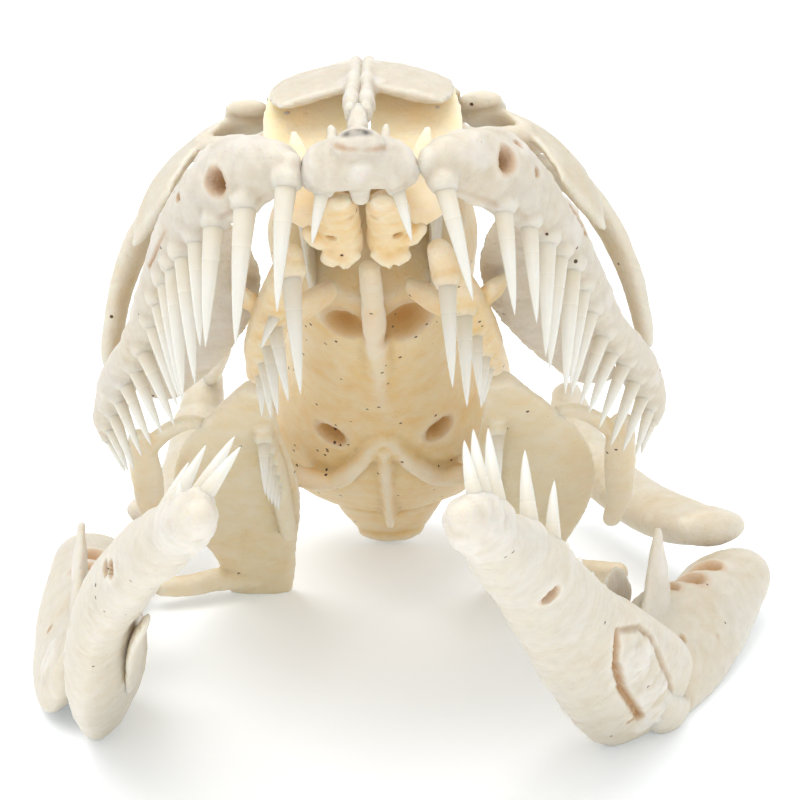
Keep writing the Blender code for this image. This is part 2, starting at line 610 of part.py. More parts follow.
def make_front_segment(side, frame, bow):
    """The tooth-bearing dentary and the thin splenial against its inner face."""
    bar = bowed(DENTARY_BAR, bow)
    notch = strand(bowed(DENTARY_NOTCH, bow), sides=SIDES_SMALL)
    foramen = strand(bowed(DENTARY_FORAMEN, bow), across=(0, 1, 0), sides=SIDES_SMALL)
    bone("dentary_" + side, [strand(bar)] + dentary_teeth(side, bar), frame, JAW_BONE, [notch, foramen])
    bone("splenial_" + side, [strand(bowed(SPLENIAL, bow), sides=SIDES_SMALL)], frame, JAW_BONE)


def make_rear_segment(side, frame, front, bow):
    """The compound bone from the elbow to the jaw joint, the coronoid and the angular."""
    peak = strand(COMPOUND_PEAK, across=(0, 1, 0), sides=SIDES_SMALL)
    fossa = strand(COMPOUND_FOSSA, sides=SIDES_SMALL)
    foramen = strand(COMPOUND_FORAMEN, across=(0, 1, 0), sides=SIDES_SMALL)
    bar = strand(COMPOUND_BAR, across=(1, 0, 0.55))
    compound = bone("compound_" + side, [bar, peak], frame, JAW_BONE, [fossa, foramen])
    rear_stations = bowed(DENTARY_BAR[:5], bow)
    dentary_room = [(x, y, z, wide + SEAM_GAP, high + SEAM_GAP) for x, y, z, wide, high in rear_stations]
    x, y, z, wide, high = dentary_room[0]
    dentary_room[0] = (x, y - SEAM_GAP, z, wide, high)
    combine(compound, to_object("room", strand(dentary_room), front), "DIFFERENCE")
    tongue = strand(bowed(COMPOUND_TONGUE[side], bow), sides=SIDES_SMALL)
    combine(compound, to_object("tongue", tongue, front), "UNION")
    bone("coronoid_" + side, [strand(CORONOID[side], sides=SIDES_SMALL)], frame, JAW_BONE)
    bone("angular_" + side, [strand(ANGULAR[side], sides=SIDES_SMALL)], frame, JAW_BONE)


def make_jaws():
    for side, outward, elbow, tip, tooth_edge, splay, bow in JAWS:
        front = jaw_frame(elbow, tip - elbow, tooth_edge, outward)
        angle = math.radians(splay)
        back = Vector((outward * math.sin(angle), math.cos(angle), 0.0))
        rear = jaw_frame(elbow, back, (0, 0, 1), outward)
        make_front_segment(side, front, bow)
        make_rear_segment(side, rear, front, bow)


def rest_on_floor():
    """Worn flats where bones touch the floor, then the origin under the middle of the whole."""
    bpy.context.view_layer.update()
    bones = [thing for thing in bpy.data.objects if thing.type == "MESH"]
    for thing in bones:
        lowest = min(vert.co.z for vert in thing.data.vertices)
        if lowest < 0:
            mesh = bmesh.new()
            bmesh.ops.create_cube(mesh, size=1.0)
            slab = Matrix.Diagonal((FLOOR_CUT_WIDTH, FLOOR_CUT_WIDTH, FLOOR_CUT_DEPTH, 1))
            mesh.transform(Matrix.Translation((0, 0, -FLOOR_CUT_DEPTH / 2)) @ slab)
            combine(thing, to_object("floor", mesh, Matrix.Identity(4)), "DIFFERENCE")
    spots = [vert.co for thing in bones for vert in thing.data.vertices]
    low = Vector(min(spot[i] for spot in spots) for i in range(3))
    high = Vector(max(spot[i] for spot in spots) for i in range(3))
    shift = Vector((-(low.x + high.x) / 2, -(low.y + high.y) / 2, -low.z))
    for thing in bones:
        for vert in thing.data.vertices:
            vert.co += shift
        thing.data.shade_smooth()
        thing.data.set_sharp_from_angle(angle=math.radians(CORNER_ANGLE))
    print("shift", [round(value / MM, 3) for value in shift], "size", (high - low) / MM)


def main():
    clear_scene()
    frame = skull_frame()
    make_braincase(frame)
    make_premaxilla(frame)
    make_paired_bones(frame)
    make_quadrates()
    make_jaws()
    rest_on_floor()


main()
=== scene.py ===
# %% [markdown]
# # A ball python's skull, cleaned, with the mouth agape
# The skull rests on its two bent lower jaws and on the rear ends of its palate bones.
# Its snout points to -Y and is tipped up, and the animal's own left is +X.
# The solids of the frame hold the bones' places.  Every bone here is built again over its solid,
# with a finer skin, its sockets, holes, seams and teeth, and then stands for that solid.

# %% Load the frame
import math

import bmesh
import bpy
import numpy as np
from mathutils import Matrix, Vector


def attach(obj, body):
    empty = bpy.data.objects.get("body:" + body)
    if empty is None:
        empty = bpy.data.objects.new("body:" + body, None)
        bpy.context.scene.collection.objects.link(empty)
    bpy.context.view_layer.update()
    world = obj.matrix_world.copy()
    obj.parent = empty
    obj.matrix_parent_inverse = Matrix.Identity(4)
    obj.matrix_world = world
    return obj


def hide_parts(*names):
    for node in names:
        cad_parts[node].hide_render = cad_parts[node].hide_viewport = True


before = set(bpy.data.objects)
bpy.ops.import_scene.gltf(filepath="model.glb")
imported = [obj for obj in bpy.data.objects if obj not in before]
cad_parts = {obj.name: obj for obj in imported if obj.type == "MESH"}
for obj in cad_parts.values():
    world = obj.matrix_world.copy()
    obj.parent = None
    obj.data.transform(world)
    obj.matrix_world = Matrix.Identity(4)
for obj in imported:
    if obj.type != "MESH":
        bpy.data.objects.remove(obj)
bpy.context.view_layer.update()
print("frame:", len(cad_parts), "bones")

# %% [markdown]
# ## Three frames of reference
# A skull is easiest to describe along its own length.  In the skull's frame x is to the side,
# f runs forward from the condyle, the knob that met the neck, and d points up to the roof.
# Each lower jaw lies at its own angle, so each half has a frame of its own as well.
# One matrix per frame carries its millimetres into the world.

# %% Frames of the skull and the jaws
MM = 0.001
SKULL_PITCH = math.radians(35.4)
SKULL_ROLL = math.radians(2.5)
CENTRING = Vector((-1.132, -3.641, 0.0))
CONDYLE_AT = Vector((0.0, 24.2, 1.7))
OUT = Vector((1.0, 0.0, 0.0))


def frame_of(columns, origin):
    """A matrix from three directions and a corner, all in millimetres."""
    turn = Matrix(columns).transposed().to_4x4()
    return Matrix.Translation(Vector(origin) + CENTRING) @ turn


def skull_frame():
    forward = Vector((0.0, -math.cos(SKULL_PITCH), math.sin(SKULL_PITCH)))
    up = Vector((0.0, math.sin(SKULL_PITCH), math.cos(SKULL_PITCH)))
    side = OUT * math.cos(SKULL_ROLL) + up * math.sin(SKULL_ROLL)
    roof = up * math.cos(SKULL_ROLL) - OUT * math.sin(SKULL_ROLL)
    return frame_of((side, forward, roof), CONDYLE_AT)


def jaw_frame(origin, along, up_hint, outward):
    """Frame of a jaw segment: x outwards, y along it, z to its tooth edge."""
    y = Vector(along).normalized()
    z = Vector(up_hint)
    z = (z - z.dot(y) * y).normalized()
    x = y.cross(z)
    if x.x * outward < 0:
        x = -x
    return frame_of((x, y, z), origin)


SKULL = skull_frame()
print("condyle at", [round(v, 2) for v in SKULL.translation], "mm")

# %% [markdown]
# ## A bone begins as a few strands
# A bone could be pushed and pulled out of a sphere, or cut from a block.  Strands are easier to
# steer: a strand is a row of oval sections, and a smooth curve through their centres and sizes
# gives as many sections between them as the skin needs.  A table of five sections is a whole bar.

# %% Strands and beads
STEP = 0.3
SIDES = 24
CAP_ANGLES = (30, 58, 80)
THINNEST = 0.05


def smooth_stations(stations):
    """A smooth curve through every column of a table, with a row about every STEP."""
    table = np.array(stations, float)
    padded = np.vstack((2 * table[0] - table[1], table, 2 * table[-1] - table[-2]))
    rows = []
    for a, b, c, d in zip(padded, padded[1:], padded[2:], padded[3:]):
        count = max(2, math.ceil(np.linalg.norm((c - b)[:3]) / STEP))
        t = np.arange(count)[:, None] / count
        bend = (2 * a - 5 * b + 4 * c - d) * t**2 + (-a + 3 * b - 3 * c + d) * t**3
        rows.append(0.5 * (2 * b + (c - a) * t + bend))
    rows.append(table[-1:])
    rows = np.vstack(rows)
    rows[:, 3:] = np.maximum(rows[:, 3:], THINNEST)
    return rows


def unit(vectors):
    return vectors / np.linalg.norm(vectors, axis=-1, keepdims=True)


def strand(stations, across=(1, 0, 0), sides=SIDES):
    """Vertices and faces of a strand: (x, f, d, half width, half height) and rounded ends."""
    rows = smooth_stations(stations)
    centres, wide, high = rows[:, :3], rows[:, 3], rows[:, 4]
    tangents = unit(np.gradient(centres, axis=0))
    side = np.array(across, float)
    side = unit(side - (tangents @ side)[:, None] * tangents)
    rise = np.cross(tangents, side)
    angles = 2 * math.pi * (np.arange(sides) + 0.5) / sides
    cos, sin = np.cos(angles)[None, :, None], np.sin(angles)[None, :, None]
    spokes = side[:, None] * wide[:, None, None] * cos + rise[:, None] * high[:, None, None] * sin
    rings = list(centres[:, None] + spokes)
    for end, sign in ((0, -1), (-1, 1)):
        reach = 0.8 * min(wide[end], high[end])
        for degrees in CAP_ANGLES:
            turn = math.radians(degrees)
            step = tangents[end] * sign * reach * math.sin(turn)
            ring = centres[end] + step + spokes[end] * math.cos(turn)
            rings = [ring] + rings if sign < 0 else rings + [ring]
    verts = np.concatenate(rings)
    faces = []
    for i in range(len(rings) - 1):
        for k in range(sides):
            n = (k + 1) % sides
            faces.append((i * sides + k, i * sides + n, (i + 1) * sides + n, (i + 1) * sides + k))
    last = (len(rings) - 1) * sides
    faces.append(tuple(range(sides - 1, -1, -1)))
    faces.append(tuple(range(last, last + sides)))
    return verts, faces


def bead(centre, radii):
    """A lump of bone, such as the collar of a socket."""
    mesh = bmesh.new()
    bmesh.ops.create_icosphere(mesh, subdivisions=2, radius=1.0)
    verts = np.array([v.co for v in mesh.verts]) * np.array(radii) + np.array(centre)
    faces = [tuple(v.index for v in face.verts) for face in mesh.faces]
    mesh.free()
    return verts, faces


def mirrored(part):
    verts, faces = part
    return verts * (-1, 1, 1), [tuple(reversed(face)) for face in faces]


verts, faces = strand(((0, 0, 0, 1, 1), (0, 5, 0, 2, 1)))
print("a two-section strand has", len(verts), "vertices")

# %% [markdown]
# ## One skin over all the strands
# Real bone has no seams where its processes meet the bar.  The Remesh modifier lays a net of small
# squares over everything at once and forgets what is inside.  A few rounds of relaxing then blend
# the corners, as resorbing and growing does in life.

# %% Fuse and relax
def add_object(name, data):
    thing = bpy.data.objects.new(name, data)
    bpy.context.scene.collection.objects.link(thing)
    return thing


def evaluated_mesh(thing):
    """A plain mesh with what the object's modifiers made of it."""
    bpy.context.view_layer.update()
    graph = bpy.context.evaluated_depsgraph_get()
    return bpy.data.meshes.new_from_object(thing.evaluated_get(graph))


def fuse(parts, voxel):
    """One even skin over overlapping strands: vertex array and quads."""
    verts, faces, start = [], [], 0
    for points, loops in parts:
        verts.append(points)
        faces += [tuple(i + start for i in loop) for loop in loops]
        start += len(points)
    mesh = bpy.data.meshes.new("clay")
    mesh.from_pydata(np.concatenate(verts).tolist(), [], faces)
    clay = add_object("clay", mesh)
    skin = clay.modifiers.new("skin", "REMESH")
    skin.mode = "VOXEL"
    skin.voxel_size = voxel
    done = evaluated_mesh(clay)
    co = np.empty(len(done.vertices) * 3)
    done.vertices.foreach_get("co", co)
    loops = np.empty(len(done.loops), int)
    done.loops.foreach_get("vertex_index", loops)
    bpy.data.objects.remove(clay, do_unlink=True)
    bpy.data.meshes.remove(mesh)
    bpy.data.meshes.remove(done)
    return co.reshape(-1, 3), loops.reshape(-1, 4)


def neighbours(quads):
    pairs = np.concatenate([quads[:, [i, (i + 1) % 4]] for i in range(4)])
    return np.unique(np.sort(pairs, axis=1), axis=0)


def relax(co, edges, rounds, shares=(0.5,)):
    """Move every vertex towards the mean of its neighbours, round after round."""
    a, b = edges.T
    count = len(co)
    degree = np.bincount(a, minlength=count) + np.bincount(b, minlength=count)
    for i in range(rounds):
        mean = np.empty_like(co)
        for k in range(3):
            mean[:, k] = np.bincount(a, co[b, k], count) + np.bincount(b, co[a, k], count)
        co = co + (mean / degree[:, None] - co) * shares[i % len(shares)]
    return co


def normals_of(co, quads):
    one, two = co[quads[:, 2]] - co[quads[:, 0]], co[quads[:, 3]] - co[quads[:, 1]]
    flat = np.cross(one, two)
    out = np.zeros_like(co)
    for corner in range(4):
        for k in range(3):
            out[:, k] += np.bincount(quads[:, corner], flat[:, k], len(co))
    return unit(out + 1e-12)


# %% [markdown]
# ## Relief: what makes it bone
# Four kinds of marks go on the skin: soft lumps and a fine tooth all over, dents where nerves and
# vessels went through, grooves where two bones met, and patches of dried crust.  They could be
# painted on, but vertices that move along their normals also show from the side and in an export.
# The marks are kept as numbers on the vertices as well, so that the material can colour them.

# %% Noise, dents, grooves and crust
PRIMES = np.array((73856093, 19349663, 83492791))
MIXERS = (2654435761, 1274126177)
SEED_STEP = 97531


def lumps(points, size, seed):
    """Smooth noise from -1 to 1 with lumps about size across."""
    spots = points / size + 31.7 * seed
    cell = np.floor(spots).astype(np.int64)
    part = spots - cell
    part = part * part * (3 - 2 * part)
    total = np.zeros(len(points))
    for corner in np.ndindex(2, 2, 2):
        mixed = ((cell + corner) * PRIMES).sum(axis=1) * MIXERS[0] + seed * SEED_STEP
        mixed = (mixed ^ (mixed >> 13)) * MIXERS[1]
        value = ((mixed ^ (mixed >> 16)) & 0xFFFF) / 32767.5 - 1
        total += value * np.where(corner, part, 1 - part).prod(axis=1)
    return total


def from_line(points, path):
    """Distance of each point from a line of points."""
    path = np.array(path, float)
    nearest = np.full(len(points), 1e9)
    for a, b in zip(path, path[1:]):
        run = b - a
        share = np.clip((points - a) @ run / (run @ run), 0, 1)
        nearest = np.minimum(nearest, np.linalg.norm(points - a - share[:, None] * run, axis=1))
    return nearest


def press(co, dents, grooves):
    """Inward push in millimetres, and a stain from 0 to 1 that follows it."""
    push, stain = np.zeros(len(co)), np.zeros(len(co))
    for x, y, z, radius, depth in dents:
        gone = np.linalg.norm(co - (x, y, z), axis=1) / radius
        inside = np.clip(1 - gone**2, 0, 1)
        push += depth * np.sqrt(inside)
        stain = np.maximum(stain, np.clip(1.35 - gone, 0, 1) ** 0.7)
    for path, width, depth, dirt in grooves:
        gone = from_line(co, path) / width
        push += depth * np.clip(1 - gone**2, 0, 1)
        stain = np.maximum(stain, dirt * np.clip(1.3 - gone, 0, 1))
    return push, stain


def crust_on(co, crusts, seed):
    """Outward rise and cover, 0 to 1, of dried crust lying in balls (x, y, z, radius, height)."""
    rise, cover = np.zeros(len(co)), np.zeros(len(co))
    ragged = 0.5 + 0.5 * lumps(co, 0.55, seed)
    grainy = 0.5 + 0.5 * lumps(co, 0.26, seed + 1)
    for x, y, z, radius, height in crusts:
        gone = np.linalg.norm(co - (x, y, z), axis=1) / radius
        near = np.clip((1.3 - gone - 0.75 * ragged) * 1.8, 0, 1)
        rise = np.maximum(rise, 1.7 * height * near * (0.15 + 0.85 * ragged * grainy))
        cover = np.maximum(cover, near * (0.45 + 0.55 * grainy))
    return rise, cover


print("noise at the origin:", round(float(lumps(np.zeros((1, 3)), 1.0, 1)[0]), 3))

# %% [markdown]
# ## Colour of old bone
# The bone is cream, honey coloured where it is thin or greasy, brown in its holes, painted darker in
# its hollows as shade, and chalky on convex edges.  Three small groups of nodes are shared by all the
# bones: one for the soft patches, one for tiny dark specks, and one for the fine tooth of the surface.

# %% Shader groups
PATCHES_PER_METRE = 260.0
CLOUDS_PER_METRE = 1100.0
SPECKS_PER_METRE = 1500.0
DIRT_PER_METRE = 420.0
GRAINS_PER_METRE = 5200.0
PORES_PER_METRE = 2600.0


def new_group(name, inputs, outputs):
    tree = bpy.data.node_groups.new(name, "ShaderNodeTree")
    kind = "NodeSocketFloat"
    for label, value in inputs:
        tree.interface.new_socket(label, in_out="INPUT", socket_type=kind).default_value = value
    for label in outputs:
        tree.interface.new_socket(label, in_out="OUTPUT", socket_type=kind)
    return tree, tree.nodes.new("NodeGroupInput"), tree.nodes.new("NodeGroupOutput")


def put(tree, kind, links=(), **values):
    """Add a node, set its properties, and link or set its inputs by name or number."""
    node = tree.nodes.new(kind)
    for key, value in values.items():
        setattr(node, key, value)
    for key, value in dict(links).items():
        if isinstance(value, bpy.types.NodeSocket):
            tree.links.new(value, node.inputs[key])
        else:
            node.inputs[key].default_value = value
    return node


def noise_at(tree, scale, detail=3.0, rough=0.55, offset=(0.0, 0.0, 0.0)):
    where = put(tree, "ShaderNodeTexCoord").outputs["Object"]
    moved = put(tree, "ShaderNodeMapping", {"Vector": where, "Location": offset}).outputs[0]
    links = {"Vector": moved, "Scale": scale, "Detail": detail, "Roughness": rough}
    return put(tree, "ShaderNodeTexNoise", links).outputs[0]


def cells_at(tree, scale):
    """Distance to the middle of the nearest cell."""
    where = put(tree, "ShaderNodeTexCoord").outputs["Object"]
    return put(tree, "ShaderNodeTexVoronoi", {"Vector": where, "Scale": scale}).outputs["Distance"]


def maths(tree, operation, one, two):
    return put(tree, "ShaderNodeMath", {0: one, 1: two}, operation=operation).outputs[0]


def ranged(tree, value, low, high, to_low=0.0, to_high=1.0):
    links = {"Value": value, 1: low, 2: high, 3: to_low, 4: to_high}
    return put(tree, "ShaderNodeMapRange", links, clamp=True).outputs[0]


def patches_group():
    """Soft patches some millimetres across, and finer clouding."""
    tree, given, made = new_group("bone_patches", (("Spread", 0.5),), ("Patch", "Cloud"))
    low = maths(tree, "SUBTRACT", 0.62, given.outputs["Spread"])
    wide = noise_at(tree, PATCHES_PER_METRE, 4.0)
    tree.links.new(ranged(tree, wide, low, 0.72), made.inputs["Patch"])
    fine = noise_at(tree, CLOUDS_PER_METRE, 3.0, offset=(0.3, 0.1, 0.2))
    tree.links.new(ranged(tree, fine, 0.35, 0.68), made.inputs["Cloud"])
    return tree


def specks_group():
    """Tiny dark specks, a few to the square millimetre where dirt caught."""
    tree, given, made = new_group("dirt_specks", (("Size", 0.12), ("Amount", 0.5)), ("Speck",))
    dot = maths(tree, "LESS_THAN", cells_at(tree, SPECKS_PER_METRE), given.outputs["Size"])
    where_dirty = noise_at(tree, DIRT_PER_METRE, 2.0, offset=(0.5, 0.7, 0.1))
    start = maths(tree, "SUBTRACT", 0.8, given.outputs["Amount"])
    caught = maths(tree, "GREATER_THAN", where_dirty, start)
    tree.links.new(maths(tree, "MULTIPLY", dot, caught), made.inputs["Speck"])
    return tree


def grain_group():
    """Height of the fine surface: grain below a tenth of a millimetre and small pores."""
    tree, given, made = new_group("bone_grain", (("Pores", 0.5),), ("Height",))
    fine = noise_at(tree, GRAINS_PER_METRE, 4.0, 0.65)
    pore = ranged(tree, cells_at(tree, PORES_PER_METRE), 0.05, 0.3)
    deep = maths(tree, "MULTIPLY", pore, given.outputs["Pores"])
    tree.links.new(maths(tree, "ADD", fine, deep), made.inputs["Height"])
    return tree


PATCHES, SPECKS, GRAIN = patches_group(), specks_group(), grain_group()
print("groups:", PATCHES.name, SPECKS.name, GRAIN.name)

# %% [markdown]
# ## Bone materials
# One function makes every bone material.  The colours lie over each other like glazes: bone, cloud,
# painted shade in the hollows, chalk on convex edges, crust, stains, specks and the blot.  A picture
# wrapped round the bone would need unwrapping; numbers on the vertices stay with the skin.  The lining
# of the nostrils glows a little, in place of the light that shines through the thin roof of the snout.

# %% Bone materials
STAIN_BROWN = (0.44, 0.20, 0.035, 1.0)
CRUST_WHITE = (0.72, 0.67, 0.60, 1.0)
SPECK_BROWN = (0.10, 0.05, 0.02, 1.0)
CHALK = (0.78, 0.74, 0.66, 1.0)
BLOT_GREY = (0.10, 0.09, 0.08, 1.0)


def blend(tree, share, one, two):
    links = {0: share, 6: one, 7: two}
    return put(tree, "ShaderNodeMix", links, data_type="RGBA").outputs[2]


def attribute(tree, name):
    return put(tree, "ShaderNodeAttribute", attribute_name=name).outputs["Fac"]


def placed(tree, group, **values):
    node = put(tree, "ShaderNodeGroup", node_tree=group)
    for key, value in values.items():
        node.inputs[key].default_value = value
    return node


def bone_material(name, cream, honey, spread, speck_amount, roughness, translucence, glow=0.0):
    """Bone between two tones, with its own share of patches, specks, shine and clearness."""
    cream, honey = (*cream, 1.0), (*honey, 1.0)
    material = bpy.data.materials.new(name)
    material.use_nodes = True
    tree = material.node_tree
    shader = tree.nodes["Principled BSDF"]
    soft = placed(tree, PATCHES, Spread=spread)
    dirt = placed(tree, SPECKS, Amount=speck_amount)
    fine = placed(tree, GRAIN, Pores=0.45)
    tone = blend(tree, soft.outputs["Patch"], cream, honey)
    pale = [0.55 * a + 0.45 * b for a, b in zip(cream, CHALK)]
    cloud = ranged(tree, soft.outputs["Cloud"], 0.0, 1.0, 0.0, 0.55)
    tone = blend(tree, cloud, tone, pale)
    hollow = attribute(tree, "hollow")
    # Convex edges, where hollow is below 0, are paled towards chalk.
    tone = blend(tree, ranged(tree, hollow, 0.0, -1.0, 0.0, 0.5), tone, CHALK)
    # Painted shade: concave hollows are darkened towards a dimmed honey, in place of the shade that falls
    # in them.
    painted_shade_honey = [0.8 * v for v in honey[:3]] + [1.0]
    tone = blend(tree, ranged(tree, hollow, 0.15, 1.0, 0.0, 0.55), tone, painted_shade_honey)
    tone = blend(tree, attribute(tree, "crust"), tone, CRUST_WHITE)
    tone = blend(tree, attribute(tree, "stain"), tone, STAIN_BROWN)
    tone = blend(tree, dirt.outputs["Speck"], tone, SPECK_BROWN)
    tone = blend(tree, attribute(tree, "blot"), tone, BLOT_GREY)
    tree.links.new(tone, shader.inputs["Base Color"])
    tree.links.new(tone, shader.inputs["Emission Color"])
    shader.inputs["Emission Strength"].default_value = glow
    sheen = ranged(tree, soft.outputs["Cloud"], 0, 1, roughness - 0.06, roughness + 0.1)
    tree.links.new(sheen, shader.inputs["Roughness"])
    links = {"Strength": 0.7, "Distance": 0.08 * MM, "Height": fine.outputs["Height"]}
    bump = put(tree, "ShaderNodeBump", links)
    tree.links.new(bump.outputs[0], shader.inputs["Normal"])
    shader.inputs["Subsurface Weight"].default_value = translucence
    shader.inputs["Subsurface Radius"].default_value = (1.0, 0.62, 0.3)
    shader.inputs["Subsurface Scale"].default_value = 0.9 * MM
    shader.inputs["Specular IOR Level"].default_value = 0.4
    return material


SKULL_BONE = bone_material("skull_bone", (0.62, 0.57, 0.46), (0.62, 0.51, 0.33), 0.34, 0.16, 0.42, 0.4)
PALATE_BONE = bone_material("palate_bone", (0.81, 0.65, 0.37), (0.74, 0.48, 0.17), 0.44, 0.3, 0.4, 0.5)
JAW_BONE = bone_material("jaw_bone", (0.60, 0.55, 0.46), (0.60, 0.50, 0.34), 0.30, 0.18, 0.4, 0.4)
PLATE_BONE = bone_material("plate_bone", (0.74, 0.64, 0.43), (0.71, 0.55, 0.29), 0.34, 0.2, 0.42, 0.45)
LINING_BONE = bone_material("lining_bone", (0.88, 0.76, 0.54), (0.86, 0.66, 0.36), 0.34, 0.1, 0.45, 0.5,
                            glow=0.16)
CHALKY_BONE = bone_material("chalky_bone", (0.60, 0.54, 0.45), (0.61, 0.52, 0.37), 0.26, 0.2, 0.5, 0.35)
print("bone materials:", len([m for m in bpy.data.materials if m.name.endswith("_bone")]))

# %% [markdown]
# ## Tooth material
# Teeth are whiter, smoother and clearer than bone.  The number called along is 0 at the socket and
# 1 at the point, so that one material runs from creamy to clear.

# %% Tooth material
def tooth_material():
    """Creamy at the root, whiter and smoother towards the point."""
    material = bpy.data.materials.new("tooth")
    material.use_nodes = True
    tree = material.node_tree
    shader = tree.nodes["Principled BSDF"]
    along = attribute(tree, "along")
    soft = placed(tree, PATCHES, Spread=0.2)
    fine = placed(tree, GRAIN, Pores=0.1)
    root = blend(tree, soft.outputs["Cloud"], (0.66, 0.58, 0.43, 1), (0.69, 0.63, 0.52, 1))
    tone = blend(tree, ranged(tree, along, 0.05, 0.55), root, (0.72, 0.70, 0.64, 1))
    tree.links.new(tone, shader.inputs["Base Color"])
    tree.links.new(ranged(tree, along, 0.0, 0.6, 0.38, 0.2), shader.inputs["Roughness"])
    links = {"Strength": 0.12, "Distance": 0.03 * MM, "Height": fine.outputs["Height"]}
    bump = put(tree, "ShaderNodeBump", links)
    tree.links.new(bump.outputs[0], shader.inputs["Normal"])
    shader.inputs["Subsurface Weight"].default_value = 0.45
    shader.inputs["Subsurface Radius"].default_value = (1.0, 0.8, 0.55)
    shader.inputs["Subsurface Scale"].default_value = 0.6 * MM
    shader.inputs["Specular IOR Level"].default_value = 0.55
    return material


TOOTH = tooth_material()
print("tooth material:", TOOTH.name)

# %% [markdown]
# ## From skin to bone
# This step takes the fused skin, presses the relief into it, measures where it is hollow, and puts
# it in the world.  Hollows are found by relaxing a copy much further: where the copy rises above
# the skin, the skin was a hollow, and where it sinks below, the skin was an edge.

# %% Build one bone
HOLLOW_SCALE = 0.09
EASING_ROUNDS = 24
TAUBIN = (0.5, -0.52)
LUMP_SIZES = (2.1, 0.9)
GRAIN_SIZES = (0.42, 0.22)


def build_bone(name, nodes, parts, place, material, slot, voxel=0.14, lumpy=0.05, tooth=0.018, seed=1,
               dents=(), grooves=(), crusts=(), blot=None, soften=6):
    """A finished bone from its strands, riding on the root and standing for its solids."""
    co, quads = fuse(parts, voxel)
    edges = neighbours(quads)
    co = relax(co, edges, soften, TAUBIN)
    normals = normals_of(co, quads)
    push, stain = press(co, dents, grooves)
    broad, narrow = LUMP_SIZES
    coarse, fine = GRAIN_SIZES
    rise = lumpy * (0.6 * lumps(co, broad, seed) + 0.4 * lumps(co, narrow, seed + 1))
    rise += tooth * (lumps(co, coarse, seed + 2) + 0.7 * lumps(co, fine, seed + 3))
    crust, cover = crust_on(co, crusts, seed + 4)
    co = co + normals * (rise + crust - push)[:, None]
    eased = relax(co, edges, EASING_ROUNDS)
    # hollow is above 0 in concave hollows, where the material paints shade, and below 0 on convex edges,
    # where it turns chalky.
    hollow = np.clip(((eased - co) * normals_of(co, quads)).sum(axis=1) / HOLLOW_SCALE, -1, 1)
    world = co @ np.array(place.to_3x3()).T + np.array(place.translation)
    world[:, 2] = np.maximum(world[:, 2], 0.0)
    if place.to_3x3().determinant() < 0:
        quads = quads[:, ::-1]
    mesh = bpy.data.meshes.new(name)
    mesh.from_pydata((world * MM).tolist(), [], quads.tolist())
    shades = {"hollow": hollow, "stain": np.clip(stain, 0, 1), "crust": cover,
              "blot": blot(co) if blot else np.zeros(len(co))}
    for label, values in shades.items():
        mesh.attributes.new(label, "FLOAT", "POINT").data.foreach_set("value", values.astype(np.float32))
    mesh.shade_smooth()
    mesh.materials.append(material)
    piece = add_object(name, mesh)
    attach(piece, "root")
    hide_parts(*nodes)
    print(f"{name}: {2 * len(quads)} triangles")
    return piece


# %% [markdown]
# ## Teeth, in rows
# A python's teeth are all one thing: a thin hook that leaves its socket straight and bends back to
# the throat.  Geometry Nodes suit that.  Each socket is a point that carries a direction, a length
# and a radius.  The tree puts one straight line at every point, bends all the lines by the same
# rule, and wraps each in a tapering skin.

